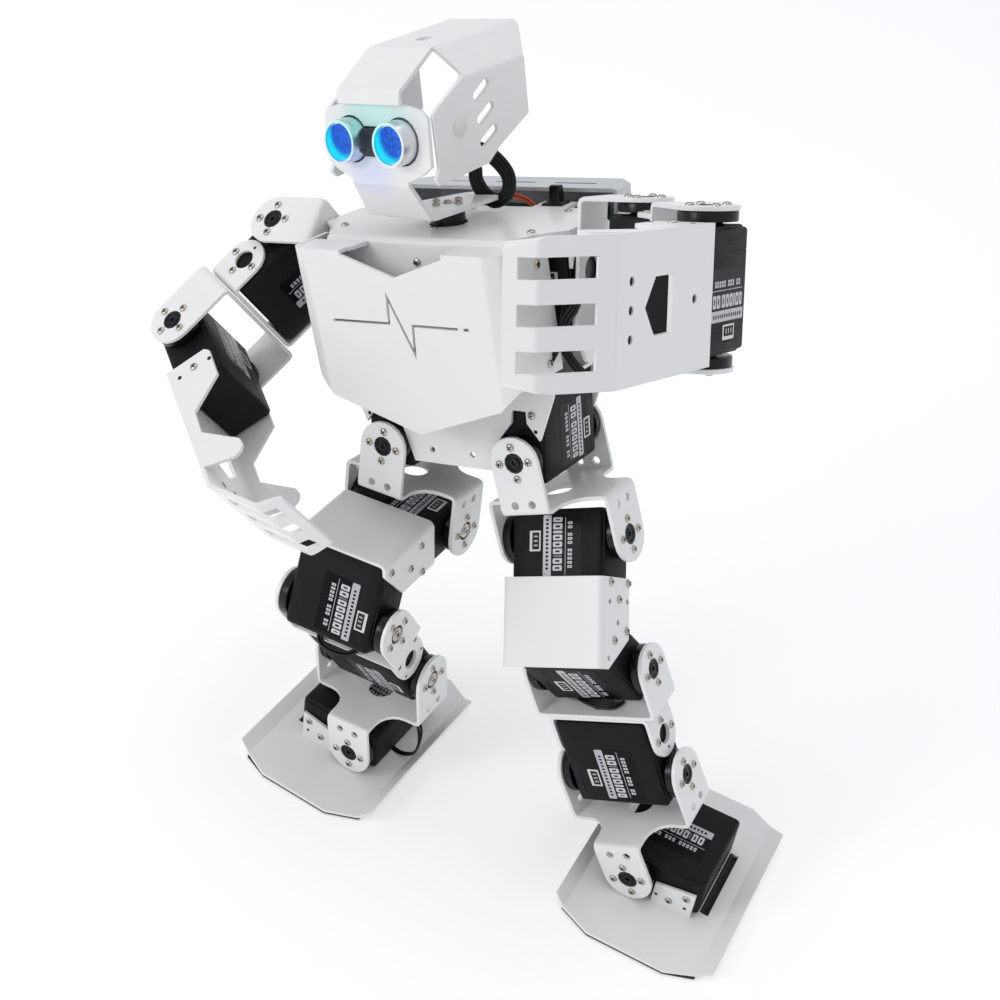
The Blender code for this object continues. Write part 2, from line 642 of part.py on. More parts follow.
def hand(side, frame):
    """One bent sheet: palm plate outside the elbow servo, two side flanges that end in thumbs,
    and a fingered end with three slots. Coordinates below are (outwards, along the forearm)."""
    sign = SIGN[side]
    palm_x = HAND_PLATE - SHEET / 2

    def along(start, distance, bend):
        return (start[0] - distance * math.sin(math.radians(bend)),
                start[1] - distance * math.cos(math.radians(bend)))

    fold = (palm_x, -HAND_FOLD)
    knuckle = along(fold, FINGER_LENGTH, FINGER_BEND)
    tip = along(knuckle, FINGER_TIP, FINGER_BEND + TIP_BEND)
    half = BODY_EAR_MIDDLE + SHEET / 2 + 0.05
    palm = sheet([(palm_x, -HAND_START), fold, knuckle, tip], -half, half, "XZ")
    plan = mirrored([(half + 1, -HAND_START + 5), (half + 1, -50)] + arc(
        half - 6, tip[1] + 5, 6, 0, -90, 4))
    trim(palm, prism(plan, -60, 60, "YZ"))
    flange = [(palm_x, -HAND_START), (-6.5, -HAND_START), (-8.4, -21.5), (-8.0, -34.5),
              (6.2, -45), (6.6, -56), (-4, -66.5), *arc(-2.6, -71.2, 4.6, 120, 300, 5),
              (palm_x, -71.5)]
    for y in (-1, 1):
        low, high = sorted((y * (half - SHEET), y * (half - 0.05)))
        union(palm, prism(flange, low, high, "XZ"))
    slot = [along(fold, FINGER_SLOT_START, FINGER_BEND), knuckle,
            along(knuckle, FINGER_SLOT_END - FINGER_LENGTH, FINGER_BEND + TIP_BEND)]
    cut(palm, *[sheet(slot, y - 3.2, y + 3.2, "XZ", thickness=4.0)
                for y in (-FINGER_PITCH, 0, FINGER_PITCH)])
    window = [(-8.9, -46.6), (8.9, -46.6), (8.9, -57.9), (0, -64.1), (-8.9, -57.9)]
    cut(palm, prism(window, 5, 20, "YZ"))
    cut(palm, *[rod(1.5, 5, 20, "X", (y, -72.7), 10) for y in (-8.6, 0, 8.6)],
        rod(1.5, 5, 20, "X", (0, -31.8), 10))
    if sign < 0:
        palm.data.transform(Matrix.Scale(-1, 4, (1, 0, 0)))
    tidy(palm.data)
    return add_part(f"{side}_hand", palm, frame, "white_paint")


# ---------------------------------------------------------------- legs

def thigh(side, frame):
    """Box shaped bracket that clamps the hip pitch servo and the knee servo together."""
    tilt = turn(THIGH_TILT, "X")
    servo(f"{side}_hip_pitch_servo", frame, tilt @ turn(90, "Z"))
    knee = shift(0, 0, -THIGH) @ tilt @ turn(KNEE_SERVO_TILT - 180, "X") @ turn(90, "Z")
    servo(f"{side}_knee_servo", frame, knee)
    front = -SERVO_HALF_WIDTH - 1.7 - SHEET / 2
    rear = 7.6
    side_x = BODY_EAR_MIDDLE
    box = sheet([(-side_x, rear), (-side_x, front), (side_x, front), (side_x, rear)], -52.6, -17.0)
    cut(box, prism([(rear + 4, -37.8), (-8.6, -53.4), (-8.6, -60), (rear + 4, -60)], -40, 40, "YZ"))
    holes = [rod(1.1, side_s * 30 - 12, side_s * 30 + 12, "X", (y, z), 8) for side_s in (1, -1)
             for y, z in ((-7.2, -26.6), (6.2, -26.2), (-0.8, -34.6), (-7.6, -48.4))]
    cut(box, *holes)
    box.data.transform(tilt)
    add_part(f"{side}_thigh_bracket", box, frame, "white_paint")


def shank(side, frame):
    """Knee bracket, ankle pitch servo and the bracket round it, bolted back to back."""
    knee = horn_u(KNEE_U_DEPTH)
    knee.data.transform(turn(90, "Z"))
    add_part(f"{side}_knee_bracket", knee, frame, "white_paint")
    place = shift(0, 0, -SHANK) @ turn(180, "X") @ turn(90, "Z")
    servo(f"{side}_ankle_pitch_servo", frame, place)
    holder = body_u()
    holder.data.transform(place)
    add_part(f"{side}_shank_bracket", holder, frame, "white_paint")


def foot_outline():
    """Plan of a left foot, seen from above, with its chamfered corners."""
    inner, outer = -FOOT_INNER, FOOT_OUTER
    return [(inner, -43.6), (inner + 17.9, -FOOT_FRONT), (outer - 17.9, -FOOT_FRONT), (outer, -43.6),
            (outer, 39.2), (outer - 16.1, FOOT_REAR), (inner + 16.1, FOOT_REAR), (inner, 39.2)]


def foot(side, frame):
    """Ankle roll servo lying on a tray shaped foot plate with a rubber sole."""
    sign = SIGN[side]
    servo(f"{side}_ankle_roll_servo", frame, turn(-sign * 90, "Y"))
    floor = -FOOT_AXIS_HEIGHT
    middle = floor + SOLE_THICKNESS + GAP + SHEET / 2
    tray = sheet([(-FOOT_INNER - 1.5, middle + 4.8), (-FOOT_INNER + 4.4, middle),
                  (FOOT_OUTER - 6.2, middle), (FOOT_OUTER + 1.5, middle + 2.9)],
                 -FOOT_FRONT - 1, FOOT_REAR + 1, "XZ")
    trim(tray, prism(foot_outline(), floor - 5, floor + 30))
    for y in (-1, 1):
        low, high = sorted((y * (BODY_EAR_MIDDLE - SHEET / 2), y * (BODY_EAR_MIDDLE + SHEET / 2)))
        tab = [(10.4, middle), (27.6, middle), (27.6, 3.5), (10.4, 0.3)]
        union(tray, prism(tab, low, high, "XZ"))
    cut(tray, block((31.0, -17, floor - 1), (33.6, 19, floor + 8)),
        rod(2.6, floor - 1, floor + 8, "Z", (-8, 28), 12))
    sole = prism([(a * 0.86 + 1.4, b * 0.97) for a, b in foot_outline()], floor,
                 floor + SOLE_THICKNESS)
    if sign < 0:
        flip = Matrix.Scale(-1, 4, (1, 0, 0))
        tray.data.transform(flip)
        sole.data.transform(flip)
    tidy(tray.data)
    tidy(sole.data)
    add_part(f"{side}_foot_plate", tray, frame, "white_paint")
    add_part(f"{side}_foot_sole", sole, frame, "rubber")


# ---------------------------------------------------------------- rest pose

def leg_drop(side, knee):
    """Ankle pitch, ankle roll and height of the hip over the sole that stand this leg's foot flat."""
    roll, pitch, _ = LEG_POSE[side]
    torso = turn(TORSO_PITCH, "X") @ turn(TORSO_ROLL, "Y")
    up = (torso @ turn(roll, "Y")).to_3x3().transposed() @ Vector((0, 0, 1))
    level = math.atan2(-up.y, up.z)
    flat = math.hypot(up.y, up.z)
    ankle_pitch = math.degrees(level) - pitch - knee
    ankle_roll = math.degrees(math.asin(up.x))
    hip = (torso.to_3x3() @ Vector((SIGN[side] * HIP_SPACING / 2, 0, 0))).z
    drop = CROSS_PITCH_DEPTH + HIP_CROSS_ROLL_DEPTH
    drop *= up.z
    drop += THIGH * flat * math.cos(math.radians(pitch) - level)
    drop += SHANK * flat * math.cos(math.radians(pitch + knee) - level)
    drop += (CROSS_PITCH_DEPTH + ANKLE_CROSS_ROLL_DEPTH) * flat
    drop += FOOT_AXIS_HEIGHT
    return ankle_pitch, ankle_roll, drop - hip


def matching_knee(side, height):
    """Knee angle that brings this leg's sole to the same floor as a hip origin at this height."""
    roll, pitch, _ = LEG_POSE[side]
    torso = turn(TORSO_PITCH, "X") @ turn(TORSO_ROLL, "Y")
    up = (torso @ turn(roll, "Y")).to_3x3().transposed() @ Vector((0, 0, 1))
    level = math.atan2(-up.y, up.z)
    flat = math.hypot(up.y, up.z)
    straight = leg_drop(side, math.degrees(level) - pitch)[2]
    shortening = (straight - height) / (SHANK * flat)
    return math.degrees(level + math.acos(1 - shortening)) - pitch


def build_leg(side, torso, knee):
    sign = SIGN[side]
    roll, pitch, _ = LEG_POSE[side]
    ankle_pitch, ankle_roll, _ = leg_drop(side, knee)
    hip_roll = add_frame(f"{side}_hip_roll_axis", torso,
                         shift(sign * HIP_SPACING / 2, 0, 0) @ turn(roll, "Y"))
    cross = cross_bracket(HIP_CROSS_ROLL_DEPTH - SHEET / 2, CROSS_PITCH_DEPTH + SHEET / 2, 1)
    cross.data.transform(shift(0, 0, SHEET / 2 - HIP_CROSS_ROLL_DEPTH))
    add_part(f"{side}_hip_bracket", cross, hip_roll, "white_paint")
    drop = HIP_CROSS_ROLL_DEPTH + CROSS_PITCH_DEPTH
    hip_pitch = add_frame(f"{side}_hip_pitch_axis", hip_roll, shift(0, 0, -drop) @ turn(pitch, "X"))
    thigh(side, hip_pitch)
    knee_axis = add_frame(f"{side}_knee_axis", hip_pitch, shift(0, 0, -THIGH) @ turn(knee, "X"))
    shank(side, knee_axis)
    ankle = add_frame(f"{side}_ankle_pitch_axis", knee_axis,
                      shift(0, 0, -SHANK) @ turn(ankle_pitch, "X"))
    cross = cross_bracket(ANKLE_CROSS_ROLL_DEPTH - SHEET / 2, CROSS_PITCH_DEPTH + SHEET / 2, -1)
    cross.data.transform(shift(0, 0, -CROSS_PITCH_DEPTH - SHEET / 2))
    add_part(f"{side}_ankle_bracket", cross, ankle, "white_paint")
    drop = ANKLE_CROSS_ROLL_DEPTH + CROSS_PITCH_DEPTH
    ankle_roll_axis = add_frame(f"{side}_ankle_roll_axis", ankle,
                                shift(0, 0, -drop) @ turn(ankle_roll, "Y"))
    foot(side, ankle_roll_axis)


def build_arm(side, torso):
    sign = SIGN[side]
    pitch, roll, elbow = ARM_POSE[side]
    servo(f"{side}_shoulder_pitch_servo", torso,
          shift(sign * SHOULDER_SERVO_X, SHOULDER_Y, SHOULDER_Z) @ turn(sign * -90, "Z"),
          bosses=(1,))
    pitch_axis = add_frame(f"{side}_shoulder_pitch_axis", torso,
                           shift(sign * SHOULDER_ROLL_X, SHOULDER_Y, SHOULDER_Z) @ turn(pitch, "X"))
    shoulder_bracket(side, pitch_axis)
    shoulder_horn(side, pitch_axis)
    roll_axis = add_frame(f"{side}_shoulder_roll_axis", pitch_axis, turn(roll, "Y"))
    upper_arm(side, roll_axis)
    elbow_axis = add_frame(f"{side}_elbow_axis", roll_axis,
                           shift(0, 0, -UPPER_ARM) @ turn(elbow, "Y"))
    servo(f"{side}_elbow_servo", elbow_axis)
    hand(side, elbow_axis)


def build_torso(torso):
    chest_cover(torso)
    body_frame(torso)
    pelvis_frame(torso)
    back_cover(torso)
    controller_board(torso)
    battery_pack(torso)
    power_switch(torso)
    for side, sign in SIGN.items():
        servo(f"{side}_hip_roll_servo", torso, shift(sign * HIP_SPACING / 2, 0, 0) @ turn(180, "X"))
    neck_middle = TOP_PLATE_Z - SHEET / 2 - GAP - SERVO_HALF_HEIGHT - 0.2
    servo("neck_servo", torso, shift(0, NECK_Y, neck_middle) @ turn(90, "X"))


def build_head(torso):
    neck = add_frame("neck_axis", torso, shift(0, NECK_Y, HEAD_Z) @ turn(HEAD_YAW, "Z"))
    face_plate(neck)
    neck_horn(neck)
    helmet_shell(neck)
    range_finder(neck)


def centre_footprint(torso):
    """Moves the robot so that its box stands on z = 0 and is centred over the origin."""
    bpy.context.view_layer.update()
    corners = [obj.matrix_world @ vertex.co for obj in bpy.data.collections[KIT].objects
               for vertex in obj.data.vertices]
    low = Vector([min(c[i] for c in corners) for i in range(3)])
    high = Vector([max(c[i] for c in corners) for i in range(3)])
    torso.matrix_basis = Matrix.Translation((-(low.x + high.x) / 2, -(low.y + high.y) / 2, -low.z)) @ (
        torso.matrix_basis)
    bpy.context.view_layer.update()


def main():
    clear_scene()
    collection = bpy.data.collections.new(KIT)
    bpy.context.scene.collection.children.link(collection)
    for name in MATERIALS:
        make_material(name)
    left_knee = LEG_POSE["left"][2]
    height = leg_drop("left", left_knee)[2]
    torso = add_frame("torso_frame", None,
                      shift(0, 0, height) @ turn(TORSO_PITCH, "X") @ turn(TORSO_ROLL, "Y"))
    build_torso(torso)
    build_head(torso)
    for side in SIGN:
        build_arm(side, torso)
    build_leg("left", torso, left_knee)
    build_leg("right", torso, matching_knee("right", height))
    centre_footprint(torso)


main()
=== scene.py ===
"""Looks of the humanoid robot kit.

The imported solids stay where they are. Servo cases get a finished shell over each plain solid, and
screws, hubs, horn discs, labels, wires and lit lenses are added on the body they belong to.
Shapes are drawn in millimetres in the frame of their body and then placed in metres.
"""

import json
import math

import bmesh
import bpy
from mathutils import Matrix, Vector


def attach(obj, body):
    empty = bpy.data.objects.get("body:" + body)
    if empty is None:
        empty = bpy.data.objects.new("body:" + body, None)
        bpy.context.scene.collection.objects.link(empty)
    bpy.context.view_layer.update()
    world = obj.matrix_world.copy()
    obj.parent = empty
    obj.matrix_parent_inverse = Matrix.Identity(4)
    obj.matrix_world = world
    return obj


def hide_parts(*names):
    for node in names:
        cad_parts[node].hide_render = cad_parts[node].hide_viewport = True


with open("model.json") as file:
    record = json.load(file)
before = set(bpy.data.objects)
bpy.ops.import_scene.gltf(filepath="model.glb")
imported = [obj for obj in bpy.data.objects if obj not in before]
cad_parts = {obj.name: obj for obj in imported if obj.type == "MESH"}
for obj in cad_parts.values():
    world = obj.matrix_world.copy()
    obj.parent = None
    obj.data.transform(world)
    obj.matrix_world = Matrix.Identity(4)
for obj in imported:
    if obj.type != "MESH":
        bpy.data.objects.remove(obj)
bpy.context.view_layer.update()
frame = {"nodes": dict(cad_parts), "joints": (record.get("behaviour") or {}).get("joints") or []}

JOINTS = {joint["name"]: joint for joint in frame["joints"]}
SIDES = {"left": 1, "right": -1}

# Angles in degrees in the photographed pose.
HEAD_YAW = -12.5
ELBOW_REST = {"left": 48.5, "right": -74.3}
THIGH_TILT = -21.0
KNEE_SERVO_TILT = 65.0

# Distances in millimetres between the two servo axes of one body.
UPPER_ARM = 57.2
HIP_LINK = 39.8
THIGH = 55.3
SHANK = 50.7
ANKLE_LINK = 35.4

# Servo case in millimetres: half its width, half its length along the horn axis, and its top and
# bottom measured from that axis.
CASE_SIDE = 10.05
CASE_END = 20.8
CASE_TOP = 10.0
CASE_BOTTOM = -29.8

# Faces across the horn axis, in millimetres from the middle of the servo.
HORN_BASE = 21.93
HORN_TOP = 25.53
EAR_FACE = 27.15
CASE_EAR_FACE = 22.7

# Ears: from the horn axis to the centre of an ear fixed to the case, and two radii.
MOUNT_CENTRE = 19.6
SCREW_CIRCLE = 6.4
HUB_RADIUS = 3.98

# Outer faces of sheets in millimetres from the middle of their body.
HAND_FLANGE = 22.75
PALM_FACE = 12.0
TORSO_TOP = 88.8
TORSO_SIDE = 53.92
TORSO_BACK = 49.8
CHEST_SIDE = 46.75
CHEST_FRONT = -38.4
HELMET_SIDE = 27.8

# Head and neck: slope of the neck screws, place of the neck servo, and centre of one transducer.
NECK_SLOPE = 0.0335
NECK_Y = -12.0
NECK_SERVO_HEIGHT = 65.9
EYE_X, EYE_Y, EYE_Z = 13.0, -40.05, 36.3
UPRIGHT = Matrix(((1, 0, 0, 0), (0, 0, 1, 0), (0, 1, 0, 0), (0, 0, 0, 1)))


def turn(degrees, axis):
    return Matrix.Rotation(math.radians(degrees), 4, axis)


def shift(x, y, z):
    return Matrix.Translation((x, y, z))


# ---------------------------------------------------------------- frames of the bodies

def centre_of(joint):
    return Vector(JOINTS[joint]["pos_m"])


def axis_of(joint):
    return Vector(JOINTS[joint]["axis"]).normalized()


def body_place(origin, x=None, y=None, z=None):
    """Matrix from a body's millimetres to the row frame; two axes are given and the third follows."""
    if x is None:
        x = y.cross(z)
    if y is None:
        y = z.cross(x)
    if z is None:
        z = x.cross(y)
    basis = Matrix((x.normalized(), y.normalized(), z.normalized())).transposed().to_4x4()
    return Matrix.Translation(origin) @ basis @ Matrix.Scale(0.001, 4)


def all_places():
    """The place of every body, built on its joint centres and axes."""
    left_hip, right_hip = centre_of("left_hip_roll"), centre_of("right_hip_roll")
    places = {"torso": body_place((left_hip + right_hip) / 2, x=left_hip - right_hip,
                                  y=axis_of("left_hip_roll"))}
    head = places["torso"] @ turn(HEAD_YAW, "Z")
    head.translation = centre_of("neck")
    places["head"] = head
    for side in SIDES:
        def at(joint, side=side):
            return centre_of(f"{side}_{joint}")

        def along(joint, side=side):
            return axis_of(f"{side}_{joint}")

        places[f"{side}_shoulder"] = body_place(
            at("shoulder_pitch"), x=along("shoulder_pitch"), y=along("shoulder_roll"))
        arm = body_place(at("shoulder_roll"), y=along("shoulder_roll"),
                         z=at("shoulder_roll") - at("elbow"))
        places[f"{side}_upper_arm"] = arm
        fore = arm @ turn(ELBOW_REST[side], "Y")
        fore.translation = at("elbow")
        places[f"{side}_forearm"] = fore
        places[f"{side}_hip"] = body_place(at("hip_roll"), x=along("hip_pitch"), y=along("hip_roll"))
        places[f"{side}_thigh"] = body_place(at("hip_pitch"), x=along("hip_pitch"),
                                             z=at("hip_pitch") - at("knee"))
        places[f"{side}_shank"] = body_place(at("knee"), x=along("knee"),
                                             z=at("knee") - at("ankle_pitch"))
        places[f"{side}_ankle"] = body_place(at("ankle_pitch"), x=along("ankle_pitch"),
                                             y=along("ankle_roll"))
        places[f"{side}_foot"] = body_place(at("ankle_roll"), y=along("ankle_roll"),
                                            z=Vector((0, 0, 1)))
    return places


PLACES = all_places()


# ---------------------------------------------------------------- materials

def node(tree, kind, **inputs):
    """A shader node whose inputs are set to values or linked to sockets."""
    made = tree.nodes.new(kind)
    for name, value in inputs.items():
        socket = made.inputs[name.replace("_", " ")]
        if isinstance(value, bpy.types.NodeSocket):
            tree.links.new(value, socket)
        else:
            socket.default_value = value
    return made


def mix_colour(tree, factor, first, second):
    """A blend of two colours; the node's colour sockets are inputs 6 and 7."""
    made = tree.nodes.new("ShaderNodeMix")
    made.data_type = "RGBA"
    for index, value in ((0, factor), (6, first), (7, second)):
        if isinstance(value, bpy.types.NodeSocket):
            tree.links.new(value, made.inputs[index])
        elif index == 0:
            made.inputs[index].default_value = value
        else:
            made.inputs[index].default_value = (*value[:3], 1.0)
    return made.outputs[2]


def scaled(tree, value, low, high, new_low, new_high):
    """The value carried from one range to another and held inside it."""
    made = node(tree, "ShaderNodeMapRange", Value=value)
    for name, number in (("From Min", low), ("From Max", high), ("To Min", new_low),
                         ("To Max", new_high)):
        made.inputs[name].default_value = number
    return made.outputs[0]


def edge_mask(tree, radius):
    """One near sharp edges and zero on flat faces."""
    rounded = node(tree, "ShaderNodeBevel", Radius=radius)
    rounded.samples = 4
    geometry = tree.nodes.new("ShaderNodeNewGeometry")
    dot = tree.nodes.new("ShaderNodeVectorMath")
    dot.operation = "DOT_PRODUCT"
    tree.links.new(rounded.outputs[0], dot.inputs[0])
    tree.links.new(geometry.outputs["Normal"], dot.inputs[1])
    return scaled(tree, dot.outputs["Value"], 0.995, 0.86, 0.0, 1.0)


def surface(name, colour, roughness, metallic=0.0, grain=1100.0, bump=0.12, blotch=0.04, spread=0.07,
            wear=None, wear_amount=0.5, coat=0.0, stretch=(1, 1, 1), specular=0.5):
    """A finish with slow colour drift, fine surface grain, uneven roughness and worn edges."""
    material = bpy.data.materials.new(name)
    material.use_nodes = True
    tree = material.node_tree
    shader = tree.nodes["Principled BSDF"]
    place = tree.nodes.new("ShaderNodeTexCoord").outputs["Object"]
    mapping = node(tree, "ShaderNodeMapping", Vector=place, Scale=stretch).outputs[0]
    fine = node(tree, "ShaderNodeTexNoise", Vector=mapping, Scale=grain, Detail=4.0,
                Roughness=0.6).outputs[0]
    slow = node(tree, "ShaderNodeTexNoise", Vector=mapping, Scale=38.0, Detail=5.0,
                Roughness=0.65).outputs[0]
    dark = [c * (1 - blotch) for c in colour]
    light = [min(1.0, c * (1 + blotch)) for c in colour]
    tint = mix_colour(tree, scaled(tree, slow, 0.3, 0.7, 0.0, 1.0), dark, light)
    rough = scaled(tree, slow, 0.3, 0.7, roughness - spread, roughness + spread)
    if wear:
        edge = edge_mask(tree, 0.0007)
        broken = scaled(tree, node(tree, "ShaderNodeTexNoise", Vector=place, Scale=420.0, Detail=3.0,
                                   Roughness=0.7).outputs[0], 0.42, 0.62, 0.0, wear_amount)
        both = tree.nodes.new("ShaderNodeMath")
        both.operation = "MULTIPLY"
        tree.links.new(edge, both.inputs[0])
        tree.links.new(broken, both.inputs[1])
        tint = mix_colour(tree, both.outputs[0], tint, wear)
    tree.links.new(tint, shader.inputs["Base Color"])
    tree.links.new(rough, shader.inputs["Roughness"])
    shader.inputs["Metallic"].default_value = metallic
    shader.inputs["Coat Weight"].default_value = coat
    shader.inputs["Coat Roughness"].default_value = 0.12
    shader.inputs["Specular IOR Level"].default_value = specular
    relief = node(tree, "ShaderNodeBump", Height=fine, Strength=bump, Distance=0.00012)
    tree.links.new(relief.outputs[0], shader.inputs["Normal"])
    return material


def glow(name):
    """Lit dished lens: deep blue with a fine woven grain, and a cyan crescent low on its left."""
    material = surface(name, (0.0, 0.02, 0.10), 0.30, grain=2600, bump=0.25, blotch=0.2, specular=0.2)
    tree = material.node_tree
    shader = tree.nodes["Principled BSDF"]
    coordinates = tree.nodes.new("ShaderNodeTexCoord")
    weave = node(tree, "ShaderNodeTexNoise", Vector=coordinates.outputs["Object"], Scale=900.0,
                 Detail=6.0, Roughness=0.8).outputs[0]
    deep = mix_colour(tree, scaled(tree, weave, 0.38, 0.62, 0.0, 1.0),
                      (0.0, 0.02, 0.30), (0.0, 0.16, 0.90))
    reach = tree.nodes.new("ShaderNodeVectorMath")
    reach.operation = "DISTANCE"
    parts = node(tree, "ShaderNodeSeparateXYZ", Vector=coordinates.outputs["Generated"])
    flat = node(tree, "ShaderNodeCombineXYZ", X=parts.outputs[0], Z=parts.outputs[2])
    tree.links.new(flat.outputs[0], reach.inputs[0])
    reach.inputs[1].default_value = (0.60, 0.0, 0.72)
    crescent = scaled(tree, reach.outputs["Value"], 0.46, 0.62, 0.0, 1.0)
    colour = mix_colour(tree, crescent, deep, (0.0, 0.78, 1.0))
    tree.links.new(colour, shader.inputs["Emission Color"])
    shader.inputs["Emission Strength"].default_value = 0.9
    return material


def add_painted_lens_glow(material, strength):
    """Paints the blue-green light of the lenses into a finish's base colour as painted glow, fading over
    two centimetres.
    """
    tree = material.node_tree
    shader = tree.nodes["Principled BSDF"]
    base = shader.inputs["Base Color"].links[0].from_socket
    place = tree.nodes.new("ShaderNodeTexCoord").outputs["Object"]
    for offset, low, high, colour in (((0, -40, 46), 5.0, 22.0, (0.42, 0.90, 0.86)),
                                      ((-4, -40, 24), 3.0, 16.0, (0.52, 0.58, 0.98))):
        reach = tree.nodes.new("ShaderNodeVectorMath")
        reach.operation = "DISTANCE"
        tree.links.new(place, reach.inputs[0])
        reach.inputs[1].default_value = PLACES["head"] @ Vector(offset)
        near = scaled(tree, reach.outputs["Value"], low * 0.001, high * 0.001, strength, 0.0)
        base = mix_colour(tree, near, base, colour)
    tree.links.new(base, shader.inputs["Base Color"])


def white_finish(name):
    return surface(name, (0.80, 0.80, 0.795), 0.36, grain=1500, bump=0.10, blotch=0.012, coat=0.12,
                   wear=(0.50, 0.51, 0.52), wear_amount=0.45)


PAINT = white_finish("white_paint")
# White paint of the face plate, which also carries the painted glow of the lenses.
FACE_PAINT_AND_GLOW = white_finish("face_paint_and_painted_glow")
GREY_PAINT = surface("grey_paint", (0.56, 0.575, 0.60), 0.34, metallic=0.25, grain=1800, bump=0.12,
                     blotch=0.02, wear=(0.75, 0.75, 0.75), wear_amount=0.6)
CASE = surface("case_plastic", (0.0058, 0.0060, 0.0068), 0.50, grain=2400, bump=0.30, blotch=0.12,
               spread=0.09, wear=(0.05, 0.05, 0.052), wear_amount=0.6, specular=0.16)
HORN = surface("horn_plastic", (0.005, 0.005, 0.0055), 0.27, grain=900, bump=0.06, blotch=0.1,
               wear=(0.06, 0.06, 0.06), wear_amount=0.5, specular=0.3)
# Near-black painted shade: it stands in for the shade in empty screw holes, cross recesses, hub holes
# and socket cavities.
PAINTED_SHADE = surface("painted_hollow_shade", (0.004, 0.004, 0.004), 0.7, blotch=0.1)
RUBBER = surface("rubber", (0.022, 0.022, 0.022), 0.85, grain=900, bump=0.6, blotch=0.2,
                 wear=(0.09, 0.09, 0.09), wear_amount=0.7)
STEEL = surface("nickel_screw", (0.50, 0.455, 0.41), 0.24, metallic=1.0, grain=3000, bump=0.10,
                blotch=0.15, spread=0.08, wear=(0.75, 0.72, 0.68), wear_amount=0.6)
BRASS = surface("brass", (0.70, 0.50, 0.24), 0.28, metallic=1.0, grain=2600, bump=0.12, blotch=0.12)
# Satin metal of the transducer cans, which also carries the painted glow of the lenses.
CAN_AND_GLOW = surface("satin_can_and_painted_glow", (0.74, 0.76, 0.79), 0.30, metallic=1.0, grain=900, bump=0.10, blotch=0.04,
              stretch=(1, 6, 1), wear=(0.9, 0.9, 0.9), wear_amount=0.6)
GUNMETAL = surface("gunmetal", (0.035, 0.038, 0.05), 0.22, metallic=0.7, grain=700, bump=0.1)
BOARD = surface("solder_mask", (0.012, 0.055, 0.032), 0.35, grain=500, bump=0.25, blotch=0.25, coat=0.4)
WRAP = surface("shrink_wrap", (0.03, 0.035, 0.055), 0.32, grain=260, bump=0.5, blotch=0.15, coat=0.3)
LABEL = surface("label_field", (0.0035, 0.0038, 0.0048), 0.26, grain=1500, bump=0.03, blotch=0.1,
                specular=0.12)
PRINT = surface("label_print", (0.55, 0.56, 0.58), 0.35, grain=1800, bump=0.05, blotch=0.06)
STRIP = surface("label_strip", (0.47, 0.48, 0.50), 0.30, metallic=0.1, grain=1800, bump=0.05,
                blotch=0.06)
SOCKET = surface("connector_white", (0.66, 0.66, 0.63), 0.36, grain=900, bump=0.08, blotch=0.03)
NYLON = surface("nylon", (0.70, 0.71, 0.66), 0.38, grain=900, bump=0.08, blotch=0.03)
CABLE = surface("cable_black", (0.007, 0.007, 0.0075), 0.34, grain=600, bump=0.12, blotch=0.15,
                specular=0.3)
RED = surface("cable_red", (0.42, 0.012, 0.008), 0.36, grain=600, bump=0.1, blotch=0.1)
ORANGE = surface("cable_orange", (0.72, 0.20, 0.02), 0.36, grain=600, bump=0.1, blotch=0.1)
GLOW = glow("lens_glow")
# Painted glow of the lenses on the face plate and on the transducer cans.
add_painted_lens_glow(FACE_PAINT_AND_GLOW, 0.62)
add_painted_lens_glow(CAN_AND_GLOW, 0.8)


# ---------------------------------------------------------------- shapes

def absorb(work, part, place, material):
    """Adds a finished sub-shape to work, placed and given its material number."""
    for face in part.faces:
        face.material_index = material
    bmesh.ops.recalc_face_normals(part, faces=part.faces)
    part.transform(place)
    if place.determinant() < 0:
        bmesh.ops.reverse_faces(part, faces=part.faces)
    mesh = bpy.data.meshes.new("part")
    part.to_mesh(mesh)
    part.free()
    work.from_mesh(mesh)
    bpy.data.meshes.remove(mesh)


def skin(rings):
    """A closed surface through rings of points with equal counts, or single points at its ends."""
    part = bmesh.new()
    made = [[part.verts.new(point) for point in ring] for ring in rings]
    for a, b in zip(made, made[1:]):
        count = max(len(a), len(b))
        for k in range(count):
            n = (k + 1) % count
            if len(a) == 1:
                part.faces.new((a[0], b[k], b[n]))
            elif len(b) == 1:
                part.faces.new((a[k], b[0], a[n]))
            else:
                part.faces.new((a[k], b[k], b[n], a[n]))
    for ring in (made[0], made[-1]):
        if len(ring) > 2:
            part.faces.new(ring)
    return part


def lathe(work, place, profile, segments=24, material=0):
    """Spins (radius, height) points about the local Z of place."""
    rings = []
    for radius, height in profile:
        if radius < 1e-4:
            rings.append([(0, 0, height)])
        else:
            rings.append([(radius * math.cos(2 * math.pi * k / segments),
                           radius * math.sin(2 * math.pi * k / segments), height)
                          for k in range(segments)])
    absorb(work, skin(rings), place, material)


def rounded_rect(low, high, corner, steps=3):
    """Outline of a rectangle with rounded corners, anticlockwise from its upper right corner."""
    points = []
    corner = max(corner, 0.02)
    left, right = low[0] + corner, high[0] - corner
    bottom, top = low[1] + corner, high[1] - corner
    for quarter, (x, y) in enumerate(((right, top), (left, top), (left, bottom), (right, bottom))):
        for k in range(steps + 1):
            angle = math.radians(90 * (quarter + k / steps))
            points.append((x + corner * math.cos(angle), y + corner * math.sin(angle)))
    return points


def stack(work, place, low, high, corner, levels, material=0):
    """A rounded rectangle carried through (inset, height) levels along the local Z of place."""
    rings = []
    for inset, height in levels:
        outline = rounded_rect((low[0] + inset, low[1] + inset), (high[0] - inset, high[1] - inset),
                               corner - inset * 0.5)
        rings.append([(a, b, height) for a, b in outline])
    absorb(work, skin(rings), place, material)


def pad(work, place, low, high, corner, bottom, top, material=0, edge=0.12):
    """A thin rounded plate with softened rims."""
    edge = min(edge, (top - bottom) / 2)
    stack(work, place, low, high, corner, [(0, bottom), (0, top - edge), (edge, top)], material)


